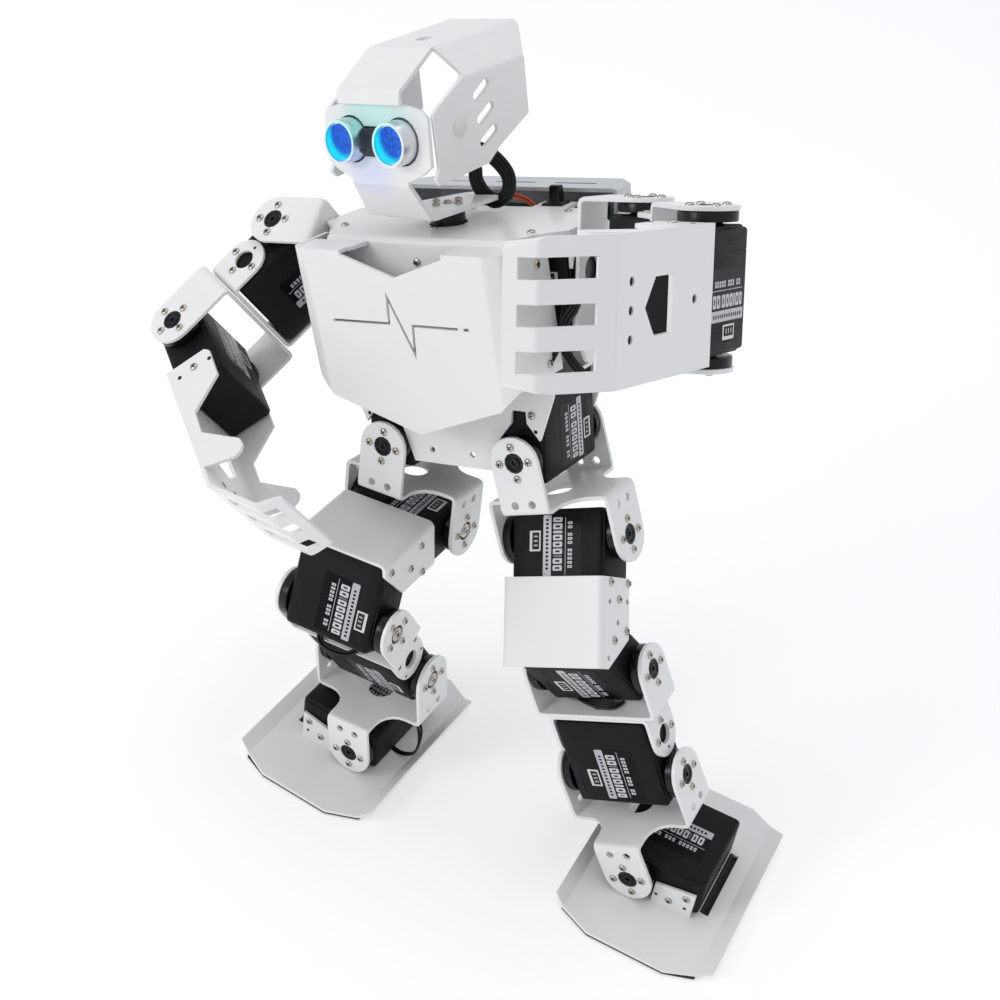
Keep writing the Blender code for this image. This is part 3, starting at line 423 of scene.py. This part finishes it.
def spline(points, steps=8):
    """Catmull-Rom curve through the points."""
    points = [Vector(p) for p in points]
    padded = [points[0] * 2 - points[1]] + points + [points[-1] * 2 - points[-2]]
    path = []
    for a, b, c, d in zip(padded, padded[1:], padded[2:], padded[3:]):
        for k in range(steps):
            t = k / steps
            path.append(0.5 * ((2 * b) + (c - a) * t + (2 * a - 5 * b + 4 * c - d) * t * t
                               + (3 * b - a - 3 * c + d) * t * t * t))
    return path + [points[-1]]


def tube(work, place, points, radius, segments=10, material=0):
    """A round wire along a smooth curve."""
    path = spline(points)
    tangent = (path[1] - path[0]).normalized()
    normal = tangent.orthogonal().normalized()
    rings = []
    for i, point in enumerate(path):
        ahead = (path[min(i + 1, len(path) - 1)] - path[max(i - 1, 0)]).normalized()
        normal = (normal - ahead * normal.dot(ahead)).normalized()
        across = ahead.cross(normal)
        rings.append([point + (normal * math.cos(2 * math.pi * k / segments)
                                + across * math.sin(2 * math.pi * k / segments)) * radius
                      for k in range(segments)])
    absorb(work, skin(rings), place, material)


def bundle(work, place, points, count, across, radius, pitch):
    """Flat ribbon of parallel wires: it spreads at right angles to its run and to the across vector."""
    path = [Vector(p) for p in points]
    spread = []
    for i in range(len(path)):
        ahead = path[min(i + 1, len(path) - 1)] - path[max(i - 1, 0)]
        spread.append(ahead.cross(Vector(across)).normalized())
    for k in range(count):
        reach = (k - (count - 1) / 2) * pitch
        tube(work, place, [p + side * reach for p, side in zip(path, spread)], radius)


def piece(name, body, materials, build):
    """Builds one named piece in its body's millimetres and hangs it on that body."""
    work = bmesh.new()
    build(work)
    mesh = bpy.data.meshes.new(name)
    work.to_mesh(mesh)
    work.free()
    mesh.transform(PLACES[body])
    for material in materials:
        mesh.materials.append(material)
    mesh.shade_smooth()
    mesh.set_sharp_from_angle(angle=math.radians(38))
    obj = bpy.data.objects.new(name, mesh)
    bpy.context.scene.collection.objects.link(obj)
    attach(obj, body)
    return obj


# ---------------------------------------------------------------- small hardware

def facing(point, direction, spin=0.0):
    """Place whose local Z points along direction, at point."""
    quaternion = Vector((0, 0, 1)).rotation_difference(Vector(direction))
    return Matrix.Translation(point) @ quaternion.to_matrix().to_4x4() @ turn(spin, "Z")


def pan_screw(work, place, radius=1.62, height=0.9):
    """Pan head with a cross recess; material 0 is metal and 1 is painted shade marking the recess."""
    profile = [(radius * 0.97, -0.3), (radius, 0.0), (radius, height * 0.28),
               (radius * 0.93, height * 0.55), (radius * 0.74, height * 0.83),
               (radius * 0.42, height * 0.97), (0, height)]
    lathe(work, place, profile, 18)
    arm, half = radius * 0.60, radius * 0.15
    for angle in (0, 90):
        cross = place @ turn(angle, "Z")
        stack(work, cross, (-arm, -half), (arm, half), half * 0.8,
              [(0, height * 0.60), (0, height * 0.99), (0.03, height * 1.015)], 1)


def painted_hollow_shade(radius):
    """Shape of an empty screw hole, as a dark disc of painted shade."""
    return lambda work, place: lathe(work, place, [(radius, -0.3), (radius, 0.03), (0, 0.035)], 14, 1)


def idle_hub(work, place):
    """Black bushing in an ear's centre hole, held by a socket screw."""
    lathe(work, place, [(HUB_RADIUS, -1.6), (HUB_RADIUS, -0.22), (3.72, 0.02), (3.3, 0.0), (2.95, -0.55),
                        (2.2, -0.72), (2.0, -0.35), (1.75, -0.22), (1.1, -0.22), (0.95, -0.9),
                        (0, -0.95)], 28)


def driven_hub(work, place):
    """Splined steel shaft end in an ear's centre hole with its retaining screw."""
    # Disc of painted shade at the bottom of the centre hole, round the shaft.
    lathe(work, place, [(HUB_RADIUS, -1.6), (HUB_RADIUS, -0.7), (0, -0.7)], 28, 1)
    teeth, tooth = 25, 0.16
    rings = []
    for height, root in ((-1.2, 2.95), (-0.35, 2.95), (-0.2, 2.80)):
        radii = [root + tooth * (k % 2) for k in range(2 * teeth)]
        rings.append([(radius * math.cos(math.pi * k / teeth), radius * math.sin(math.pi * k / teeth),
                       height) for k, radius in enumerate(radii)])
    absorb(work, skin(rings), place, 0)
    pan_screw(work, place @ shift(0, 0, -0.25), 1.9, 0.7)


def horn_disc(work, direction, centre):
    """Thick round horn between a servo and the inside of an ear, with four screw ends below."""
    place = facing(centre, direction)
    lathe(work, place, [(0, HORN_BASE), (9.66, HORN_BASE), (9.9, 22.2), (9.9, 24.9), (9.8, 25.3),
                        (9.62, HORN_TOP), (0, HORN_TOP)], 48)
    for k in range(4):
        spot = place @ turn(90 * k, "Z") @ shift(SCREW_CIRCLE, 0, HORN_BASE) @ turn(180, "X")
        lathe(work, spot, [(0.85, -0.3), (0.85, 0.0), (0.75, 0.05), (0, 0.05)], 12)


def run(tasks):
    """A build function that makes each shape of a list at its place."""
    def build(work):
        for shape, place in tasks:
            shape(work, place)
    return build


def horn_pair(body, label, axis, centre, driven_side):
    """Horn discs, hubs and ear screws at both ends of one servo axis, on the body they turn with."""
    directions = {side: (side, 0, 0) if axis == "X" else (0, side, 0) for side in (1, -1)}
    faces = {side: facing(centre, direction) @ shift(0, 0, EAR_FACE)
             for side, direction in directions.items()}
    screws = [(pan_screw, face @ turn(90 * k, "Z") @ shift(SCREW_CIRCLE, 0, 0) @ turn(31 * k + 12, "Z"))
              for face in faces.values() for k in range(4)]

    def discs(work):
        for direction in directions.values():
            horn_disc(work, direction, centre)
        idle_hub(work, faces[-driven_side])

    piece(f"{body}_{label}_horns", body, [HORN], discs)
    piece(f"{body}_{label}_screws", body, [STEEL, PAINTED_SHADE],
          run(screws + [(driven_hub, faces[driven_side])]))


# ---------------------------------------------------------------- servos

def servo_case(work, place, horned=(1, -1)):
    """Three-part moulded case with stepped ends, seams and corner screws."""
    upright = place @ UPRIGHT
    half = [(0.0, 12.55), (0.12, 12.65), (0.12, 12.8), (0.0, 12.9), (0.0, 18.9), (0.2, 19.5),
            (0.75, 19.95), (1.4, 20.1), (1.45, 20.62), (1.9, CASE_END)]
    levels = [(inset, -height) for inset, height in reversed(half)] + half
    stack(work, upright, (-CASE_SIDE, CASE_BOTTOM), (CASE_SIDE, CASE_TOP), 1.9, levels)
    for end in (1, -1):
        face = place @ facing((0, 0, 0), (0, end, 0))
        if end in horned:
            lathe(work, face, [(5.6, 20.6), (5.6, 20.95), (5.2, 21.2), (4.9, 21.25), (4.8, 21.65),
                               (3.2, 21.7), (0, 21.7)], 28)
        for x in (-6.9, 6.9):
            for z in (-26.3, 6.6):
                lathe(work, place @ facing((x, end * 20.75, z), (0, end, 0)),
                      [(1.5, -0.2), (1.5, 0.05), (1.2, 0.14), (0.75, 0.14), (0.6, -0.1), (0, -0.1)], 12)
    for x in (-1, 1):
        side = place @ facing((x * CASE_SIDE, 0, 0), (x, 0, 0))
        for y in (-16.4, 16.4):
            stack(work, side @ shift(0, y, 0), (-6, -0.35), (6, 0.35), 0.3,
                  [(0, -0.3), (0, 0.06), (0.1, 0.1)])


def broad_face(place, face, flip):
    """Place on a broad face: X runs towards the wire socket, Y along the case, Z outwards."""
    return place @ Matrix(((0, 0, face, face * CASE_SIDE), (flip, 0, 0, 0), (0, 1, 0, 0), (0, 0, 0, 1)))


def servo_label(work, place, flip, slide, drop):
    """Printed field on both broad faces: bars in place of any wording and a pale strip."""
    for face in (-1, 1):
        side = broad_face(place, face, flip) @ shift(slide, drop, 0)
        pad(work, side, (-7.6, -17.4), (5.6, 7.4), 0.5, -0.2, 0.06, 0, 0.03)
        z = 4.6
        for letters in (2, 3, 5):
            for _ in range(letters):
                pad(work, side, (-3.6, z - 1.05), (-1.6, z), 0.15, 0.0, 0.09, 1, 0.02)
                pad(work, side, (-2.9, z - 0.72), (-2.3, z - 0.33), 0.1, 0.05, 0.1, 0, 0.01)
                z -= 1.62
            z -= 1.3
        pad(work, side, (-0.65, -16.4), (-0.43, 6.4), 0.05, 0.0, 0.09, 1, 0.02)
        z = 6.4
        for width in (1.9, 2.3, 1.0, 2.2, 2.2, 2.2, 0.5, 2.2, 2.2):
            pad(work, side, (0.9, z - width), (5.1, z), 0.4, 0.0, 0.09, 1, 0.02)
            if width > 1.5:
                pad(work, side, (2.0, z - width + 0.75), (4.0, z - 0.75), 0.2, 0.05, 0.1, 0, 0.01)
            z -= width + 0.55
        pad(work, side, (5.9, -17.0), (9.6, 7.4), 0.5, -0.2, 0.09, 2, 0.03)
        for k in range(13):
            pad(work, side, (7.2, 5.0 - 1.6 * k), (8.4, 5.9 - 1.6 * k), 0.15, 0.05, 0.11, 0, 0.01)


def servo_socket(work, place, flip, slide, drop):
    """Small white wire socket with painted shade for its cavity and three pins on both broad faces."""
    for face in (-1, 1):
        side = broad_face(place, face, flip) @ shift(13.3 + slide, drop - 2.7, 0)
        pad(work, side, (-2.5, -4.1), (2.5, 4.1), 0.3, -0.3, 0.16, 0, 0.06)
        pad(work, side, (-1.9, -3.4), (1.3, 3.4), 0.2, 0.0, 0.19, 1, 0.01)
        for y in (-1.8, 0.0, 1.8):
            pad(work, side, (-1.2, y - 0.3), (0.5, y + 0.3), 0.1, 0.1, 0.24, 2, 0.02)


def add_servo(name, body, place, flip=1, horned=(1, -1), slide=0.0, drop=0.0):
    """Shell over one plain servo solid, with its label, wire socket and shaft ends."""
    shell = piece(f"{name}_shell", body, [CASE],
                  lambda work: servo_case(work, place, horned))
    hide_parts(name)
    piece(f"{name}_label", body, [LABEL, PRINT, STRIP],
          lambda work: servo_label(work, place, flip, slide, drop))
    piece(f"{name}_socket", body, [SOCKET, PAINTED_SHADE, STRIP],
          lambda work: servo_socket(work, place, flip, slide, drop))

    def shafts(work):
        for end in horned:
            face = place @ facing((0, 0, 0), (0, end, 0))
            lathe(work, face, [(3.0, 21.5), (3.0, 21.9), (0, 21.9)], 24)

    piece(f"{name}_shaft", body, [BRASS], shafts)


LABEL_SLIDE = {"left": -3.6, "right": 1.6}
add_servo("neck_servo", "torso", shift(0, NECK_Y, NECK_SERVO_HEIGHT) @ turn(90, "X"))
for side, sign in SIDES.items():
    tilt = turn(THIGH_TILT, "X")
    add_servo(f"{side}_hip_roll_servo", "torso", shift(sign * 30.2, 0, 0) @ turn(180, "X"), -1)
    add_servo(f"{side}_shoulder_pitch_servo", "torso",
              shift(sign * 31.05, -4.5, 71.1) @ turn(sign * -90, "Z"), horned=(1,))
    add_servo(f"{side}_shoulder_roll_servo", f"{side}_upper_arm", Matrix.Identity(4))
    add_servo(f"{side}_elbow_servo", f"{side}_forearm", Matrix.Identity(4))
    add_servo(f"{side}_hip_pitch_servo", f"{side}_thigh", tilt @ turn(90, "Z"), sign,
              slide=LABEL_SLIDE[side])
    add_servo(f"{side}_knee_servo", f"{side}_thigh", shift(0, 0, -THIGH) @ tilt @ turn(
        KNEE_SERVO_TILT - 180, "X") @ turn(90, "Z"), sign, slide=LABEL_SLIDE[side])
    add_servo(f"{side}_ankle_pitch_servo", f"{side}_shank",
              shift(0, 0, -SHANK) @ turn(180, "X") @ turn(90, "Z"), sign, slide=LABEL_SLIDE[side])
    add_servo(f"{side}_ankle_roll_servo", f"{side}_foot", turn(-sign * 90, "Y"),
              slide=-3.0, drop=-6.0)


# ---------------------------------------------------------------- hardware on the brackets

def case_ear(tasks, direction, centre, up, pattern):
    """Screws and holes of an ear fixed to a servo case, the holes as dark discs of painted shade; up
    points from its centre to the shaft.
    """
    direction, up, centre = Vector(direction), Vector(up), Vector(centre)
    across = up.cross(direction)
    if pattern == "outer":
        screws = ((SCREW_CIRCLE, 0), (-SCREW_CIRCLE, 0), (0, -SCREW_CIRCLE))
        holes = ((0, SCREW_CIRCLE),)
    else:
        screws = ((6.9, -7.0), (-6.9, -7.0))
        holes = ((6.8, 3.8), (-6.8, 3.8))
    for i, (a, b) in enumerate(screws):
        tasks.append((pan_screw, facing(centre + across * a + up * b, direction, 40 * i + 15)))
    for a, b in holes:
        tasks.append((painted_hollow_shade(0.7), facing(centre + across * a + up * b, direction)))


def screws(name, body, tasks):
    piece(name, body, [STEEL, PAINTED_SHADE], run(tasks))


def upper_arm_screws(side):
    tasks = []
    for end, pattern in ((-1, "outer"), (1, "inner")):
        case_ear(tasks, (0, end, 0), (0, end * CASE_EAR_FACE, -MOUNT_CENTRE), (0, 0, 1), pattern)
    screws(f"{side}_upper_arm_case_screws", f"{side}_upper_arm", tasks)


def shank_screws(side, sign):
    tasks = []
    for end in (-1, 1):
        case_ear(tasks, (end, 0, 0), (end * CASE_EAR_FACE, 0, MOUNT_CENTRE - SHANK), (0, 0, -1),
                 "outer" if end == sign else "inner")
    screws(f"{side}_shank_case_screws", f"{side}_shank", tasks)


def thigh_screws(side, sign):
    """Screws of the thigh bracket, at (forward, up) spots on its outer and inner cheeks."""
    tilt = turn(THIGH_TILT, "X")
    outer = ((-6.7, -19.0), (6.7, -19.0), (-0.3, -25.5), (5.8, -37.5), (-3.4, -41.4))
    inner = ((-7.2, -26.6), (6.2, -26.2), (-0.8, -34.6), (-7.6, -48.4))
    tasks = []
    for spots, end in ((outer, sign), (inner, -sign)):
        for i, (y, z) in enumerate(spots):
            tasks.append((pan_screw, tilt @ facing((end * CASE_EAR_FACE, y, z), (end, 0, 0), 50 * i)))
    screws(f"{side}_thigh_screws", f"{side}_thigh", tasks)


def hand_screws(side, sign):
    """One screw and two empty holes on each flange, and four empty holes in the palm; the holes are dark
    discs of painted shade.
    """
    tasks = []
    for end in (-1, 1):
        tasks.append((pan_screw, facing((0, end * HAND_FLANGE, -24.6), (0, end, 0), 20)))
        for x in (-7.2, 7.2):
            tasks.append((painted_hollow_shade(0.9), facing((x, end * HAND_FLANGE, -25.3), (0, end, 0))))
    for y, z in ((-8.6, -72.7), (0, -72.7), (8.6, -72.7), (0, -31.8)):
        tasks.append((painted_hollow_shade(1.55), facing((sign * (PALM_FACE - 0.6), y, z), (sign, 0, 0))))
    screws(f"{side}_hand_screws", f"{side}_forearm", tasks)


def foot_screws(side, sign):
    tasks = []
    for end in (-1, 1):
        for i, (x, z) in enumerate(((17.6, -5.9), (24.2, -0.1))):
            tasks.append((pan_screw, facing((sign * x, end * CASE_EAR_FACE, z), (0, end, 0), 30 * i)))
        # Empty holes as dark discs of painted shade.
        for x, z in ((11.9, -5.6), (24.6, -6.2)):
            tasks.append((painted_hollow_shade(0.75), facing((sign * x, end * CASE_EAR_FACE, z), (0, end, 0))))
    screws(f"{side}_foot_screws", f"{side}_foot", tasks)


def torso_screws():
    """Screws of the top plate, pelvis ears, side walls, back cover and chest cover."""
    tasks = []
    for x, y in ((-41.3, -22.0), (41.3, -22.0), (-0.9, -21.8), (-38.0, 12.4), (38.0, 12.4),
                 (-4.4, 12.2)):
        tasks.append((pan_screw, facing((x, y, TORSO_TOP), (0, 0, 1), x * 3)))
    for sign in (1, -1):
        for end in (-1, 1):
            tasks.append((pan_screw, facing((sign * 36.8, end * CASE_EAR_FACE, 18.5), (0, end, 0), 20)))
            # Empty hole as a dark disc of painted shade.
            tasks.append((painted_hollow_shade(0.8), facing((sign * 38.1, end * CASE_EAR_FACE, 12.1), (0, end, 0))))
        for y, z in ((-2.0, 54.0), (14.0, 46.0), (28.0, 44.0), (28.0, 70.0)):
            tasks.append((pan_screw, facing((sign * TORSO_SIDE, y, z), (sign, 0, 0), 25)))
        for z in (50, 86):
            tasks.append((pan_screw, facing((sign * 40, TORSO_BACK, z), (0, 1, 0), 25)))
        for y, z in ((-28.9, 78.9), (-23.8, 40.1)):
            tasks.append((pan_screw, facing((sign * CHEST_SIDE, y, z), (sign, 0, 0), 35)))
    tasks.append((pan_screw, facing((1.8, CHEST_FRONT, 80), (0, -1, 0), 30)))
    screws("torso_screws", "torso", tasks)


def neck_screws():
    """Four screws round the retaining screw of the neck servo."""
    tasks = []
    for k in range(4):
        x, y = 6.0 * math.cos(math.pi * k / 2), 6.0 * math.sin(math.pi * k / 2)
        tasks.append((pan_screw, facing((x, y, 6.9 - y * NECK_SLOPE), (0, -NECK_SLOPE, 1), 25 * k)))
    tasks.append((driven_hub, facing((0, 0, 7.2), (0, -NECK_SLOPE, 1))))
    screws("neck_screws", "head", tasks)


def rivets(work):
    """Nylon rivets that hold the helmet to the face plate."""
    for sign in (1, -1):
        lathe(work, facing((sign * HELMET_SIDE, -18.8, 39.6), (sign, 0, 0)),
              [(2.2, -1.2), (3.3, 0.4), (3.3, 0.75), (2.9, 1.25), (1.9, 1.6), (0, 1.7)], 28)


for side, sign in SIDES.items():
    horn_pair(f"{side}_shoulder", "roll", "Y", (0, 0, 0), 1)
    horn_pair(f"{side}_upper_arm", "elbow", "Y", (0, 0, -UPPER_ARM), 1)
    horn_pair(f"{side}_hip", "roll", "Y", (0, 0, 0), 1)
    horn_pair(f"{side}_hip", "pitch", "X", (0, 0, -HIP_LINK), -sign)
    horn_pair(f"{side}_shank", "knee", "X", (0, 0, 0), -sign)
    horn_pair(f"{side}_ankle", "pitch", "X", (0, 0, 0), -sign)
    horn_pair(f"{side}_ankle", "roll", "Y", (0, 0, -ANKLE_LINK), 1)
    upper_arm_screws(side)
    shank_screws(side, sign)
    thigh_screws(side, sign)
    hand_screws(side, sign)
    foot_screws(side, sign)
torso_screws()
neck_screws()
piece("helmet_rivets", "head", [NYLON], rivets)


# ---------------------------------------------------------------- head

def can_sleeves(work):
    """Rolled rims of the two transducer cans."""
    for sign in (1, -1):
        face = facing((sign * EYE_X, EYE_Y, EYE_Z), (0, -1, 0))
        lathe(work, face, [(8.12, -8.0), (8.14, -0.5), (8.0, -0.1), (7.7, 0.0), (7.25, -0.08),
                           (7.05, -0.5), (7.0, -1.3), (0, -1.3)], 56)


def lens(work, sign):
    """Dished front of one transducer behind its rolled rim."""
    face = facing((sign * EYE_X, EYE_Y, EYE_Z), (0, -1, 0))
    lathe(work, face, [(6.6, -1.28), (6.55, -0.5), (6.2, -0.62), (5.0, -0.92), (3.2, -1.12), (1.5, -1.2),
                       (0, -1.22)], 56)


def gap_filler(work):
    """Dark crystal housing between the two cans."""
    place = shift(0, -33.5, EYE_Z) @ facing((0, 0, 0), (0, -1, 0))
    stack(work, place, (-6.2, -5.6), (6.2, 4.6), 1.4, [(0, -2.0), (0, 1.6), (0.5, 2.2), (1.4, 2.5)])


piece("transducer_rims", "head", [CAN_AND_GLOW], can_sleeves)
piece("transmitter_lens", "head", [GLOW], lambda work: lens(work, 1))
piece("receiver_lens", "head", [GLOW], lambda work: lens(work, -1))
piece("transducer_bridge", "head", [GUNMETAL], gap_filler)


# ---------------------------------------------------------------- wires

def wires(name, body, points, count, across, radius, pitch, finish=CABLE):
    """Ribbon of parallel wires on one body, through points in its millimetres."""
    piece(name, body, [finish],
          lambda work: bundle(work, Matrix.Identity(4), points, count, across, radius, pitch))


def on_side(sign, points):
    """Points given for the left half of the torso, carried over to the side with this sign."""
    return [(sign * x, y, z) for x, y, z in points]


wires("head_wires", "torso",
      [(3, -8, 114), (8, -2, 115), (12.5, 3, 111), (16.6, 6, 103.5), (15.8, 6, 96.6),
       (10.5, 6, 93.6), (5.4, 6, 96.4), (2.5, 6, 101.5), (3, 5, 107), (4, 0, 111)],
      4, (0, -1, 0.3), 0.85, 1.45)
for k, (finish, slot_name) in enumerate(((ORANGE, "cable_orange"), (RED, "cable_red"))):
    wires(f"rear_wire_{k}", "torso",
          [(-16, 22, 87.5), (-6, 25, 90.2 + k), (4, 26, 90.8 + k), (13, 25, 89.2 + k), (20, 23, 86)],
          1, (0, 0, 1), 0.75, 1.5, finish)
for sign in (1, -1):
    wires(f"side_wires_{sign + 1}", "torso", on_side(sign, (
        (57.5, -19.5, 66), (55.8, -20, 61), (52.2, -20, 56), (50.9, -20, 51), (51.7, -20, 44),
        (54.5, -20, 39.5), (57.0, -19, 36))), 3, (0, -1, 0), 0.7, 1.35)
    wires(f"pelvis_wires_{sign + 1}", "torso", on_side(sign, (
        (51, -17, 62), (49.8, -18.5, 54), (48.5, -20.5, 46), (44, -22, 38), (38, -21, 32),
        (30, -14, 30))), 2, (0, -1, 0), 0.7, 1.35)
wires("left_knee_wires", "left_shank",
      [(-18, 9, -15.3), (-14, 2.5, -13.2), (-7, -2.5, -13.4), (0, -4.6, -14.6), (6, -4.2, -15.2),
       (7.3, -1.5, -15.6), (3, 1.2, -16.4), (0, 2, -20)], 4, (0, 0, 1), 0.72, 1.35)
wires("right_knee_wires", "right_shank",
      [(-12, -4, -12.2), (-11.8, -9.7, -14.6), (-8.7, -12.5, -14.9), (-2.4, -13.4, -14.9),
       (4, -12.1, -14.8), (7.7, -8.5, -14.2)], 2, (0, 0, 1), 0.7, 1.4)
wires("right_foot_wires", "right_foot",
      [(2, 9, 6), (1.2, -1.0, -0.5), (3.5, -3.0, -8.2), (12.0, -4.6, -10.6), (19.5, -5.0, -6.5),
       (22.6, -6.0, 2.0), (21.5, -4.0, 8.5), (17, 0, 11)], 2, (0, 0, 1), 0.6, 1.25)


def foot_rims():
    """Rubber sole reaching out to the edge of each tray, and the slot along the servo."""
    for side, sign in SIDES.items():
        inner, outer, front, rear = -19.2, 39.9, -51.6, 47.1
        outline = [(inner, -45.2), (-5.3, front), (27.9, front), (outer, -47.0), (outer, 42.0),
                   (29.7, rear), (-7.1, rear), (inner, 40.6)]

        def sole(work):
            rings = [[(sign * x * grow, y * grow, z) for x, y in outline]
                     for grow, z in ((0.995, -13.7), (1.0, -13.5), (1.0, -12.85), (0.995, -12.72))]
            absorb(work, skin(rings), Matrix.Identity(4), 0)

        made = piece(f"{side}_sole", f"{side}_foot", [RUBBER], sole)
        low, high = sorted((sign * 29.9, sign * 31.3))
        piece(f"{side}_tray_slot", f"{side}_foot", [RUBBER],
              lambda work: pad(work, Matrix.Identity(4), (low, -17), (high, 19), 0.1, -11.2, -10.72))
        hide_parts(f"{side}_foot_sole")


foot_rims()


# ---------------------------------------------------------------- finishes of the carried-over solids

def soften(obj, width):
    """Rolled sheet edges: weld the facets, clear flat seams, then round the corners."""
    attribute = obj.data.attributes.get("custom_normal")
    if attribute:
        obj.data.attributes.remove(attribute)
    obj.data.shade_smooth()
    weld = obj.modifiers.new("weld", "WELD")
    weld.merge_threshold = 0.00001
    planar = obj.modifiers.new("planar", "DECIMATE")
    planar.decimate_type = "DISSOLVE"
    planar.angle_limit = math.radians(1.5)
    bevel = obj.modifiers.new("edge", "BEVEL")
    bevel.width = width
    bevel.segments = 2
    bevel.limit_method = "ANGLE"
    bevel.angle_limit = math.radians(50)
    bevel.use_clamp_overlap = True
    normals = obj.modifiers.new("normals", "WEIGHTED_NORMAL")
    normals.weight = 80
    normals.keep_sharp = False


def finish_of(name):
    """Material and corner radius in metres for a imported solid."""
    if name == "face_plate":
        return FACE_PAINT_AND_GLOW, 0.00028
    if name == "back_cover":
        return GREY_PAINT, 0.00025
    if name in ("controller_board", "range_finder_board"):
        return BOARD, 0.00012
    if name == "battery_pack":
        return WRAP, 0.0006
    if name in ("neck_horn", "power_switch") or name.endswith("shoulder_horn"):
        return HORN, 0.0003
    if name in ("transmitter_can", "receiver_can"):
        return CAN_AND_GLOW, 0.0001
    if name.endswith("_sole"):
        return RUBBER, 0.00025
    return PAINT, 0.00028


for name, obj in frame["nodes"].items():
    if name.endswith("_servo"):
        continue
    material, width = finish_of(name)
    obj.data.materials.clear()
    obj.data.materials.append(material)
    for polygon in obj.data.polygons:
        polygon.material_index = 0
    soften(obj, width)


# ---------------------------------------------------------------- stage, light and camera

def stage():
    """Pale floor and an even studio sky."""
    floor = bpy.data.materials.new("floor")
    floor.use_nodes = True
    tree = floor.node_tree
    shader = tree.nodes["Principled BSDF"]
    place = tree.nodes.new("ShaderNodeTexCoord").outputs["Object"]
    slow = node(tree, "ShaderNodeTexNoise", Vector=place, Scale=6.0, Detail=3.0).outputs[0]
    tint = mix_colour(tree, slow, (0.87, 0.87, 0.87), (0.89, 0.89, 0.89))
    tree.links.new(tint, shader.inputs["Base Color"])
    shader.inputs["Roughness"].default_value = 0.9
    shader.inputs["Specular IOR Level"].default_value = 0.1
    shader.inputs["Emission Color"].default_value = (1, 1, 1, 1)
    shader.inputs["Emission Strength"].default_value = 0.26
    mesh = bpy.data.meshes.new("floor")
    work = bmesh.new()
    bmesh.ops.create_grid(work, x_segments=2, y_segments=2, size=4.0)
    work.to_mesh(mesh)
    work.free()
    mesh.materials.append(floor)
    obj = bpy.data.objects.new("floor", mesh)
    bpy.context.scene.collection.objects.link(obj)
    world = bpy.data.worlds.new("studio")
    world.use_nodes = True
    background = world.node_tree.nodes["Background"]
    background.inputs["Color"].default_value = (0.94, 0.97, 1.0, 1.0)
    background.inputs["Strength"].default_value = 0.72
    bpy.context.scene.world = world


def area(name, location, target, size, power):
    """Soft lamp at a location in metres, turned to its target."""
    lamp = bpy.data.lights.new(name, "AREA")
    lamp.size = size
    lamp.energy = power
    obj = bpy.data.objects.new(name, lamp)
    obj.location = location
    obj.rotation_euler = (Vector(target) - Vector(location)).to_track_quat("-Z", "Y").to_euler()
    bpy.context.scene.collection.objects.link(obj)


def camera():
    """Camera at the photograph's angle: above the robot's front and to its left."""
    around, above, lean = math.radians(35.41), math.radians(40.19), math.radians(3.51)
    back = Vector((math.sin(around) * math.cos(above), -math.cos(around) * math.cos(above),
                   math.sin(above)))
    right = Vector((math.cos(around), math.sin(around), 0))
    up = back.cross(right)
    tilted_right = right * math.cos(lean) + up * math.sin(lean)
    tilted_up = up * math.cos(lean) - right * math.sin(lean)
    distance = 0.67676
    aim = PLACES["torso"].translation + Vector((-0.04273, -0.0641, -0.00944))
    optics = bpy.data.cameras.new("camera")
    optics.sensor_width = 36.0
    optics.lens = 61.765
    optics.shift_x = 0.200
    optics.shift_y = -0.01614
    optics.clip_start = 0.01
    obj = bpy.data.objects.new("camera", optics)
    place = Matrix((tilted_right, tilted_up, back)).transposed().to_4x4()
    place.translation = aim + back * distance
    obj.matrix_world = place
    bpy.context.scene.collection.objects.link(obj)
    bpy.context.scene.camera = obj


stage()
area("key", (-0.75, -1.05, 0.75), (0, 0, 0.15), 0.45, 4.2)
area("top", (-0.2, 0.2, 1.3), (0, 0, 0.15), 0.8, 2.6)
camera()
bpy.context.scene.view_settings.view_transform = "Standard"
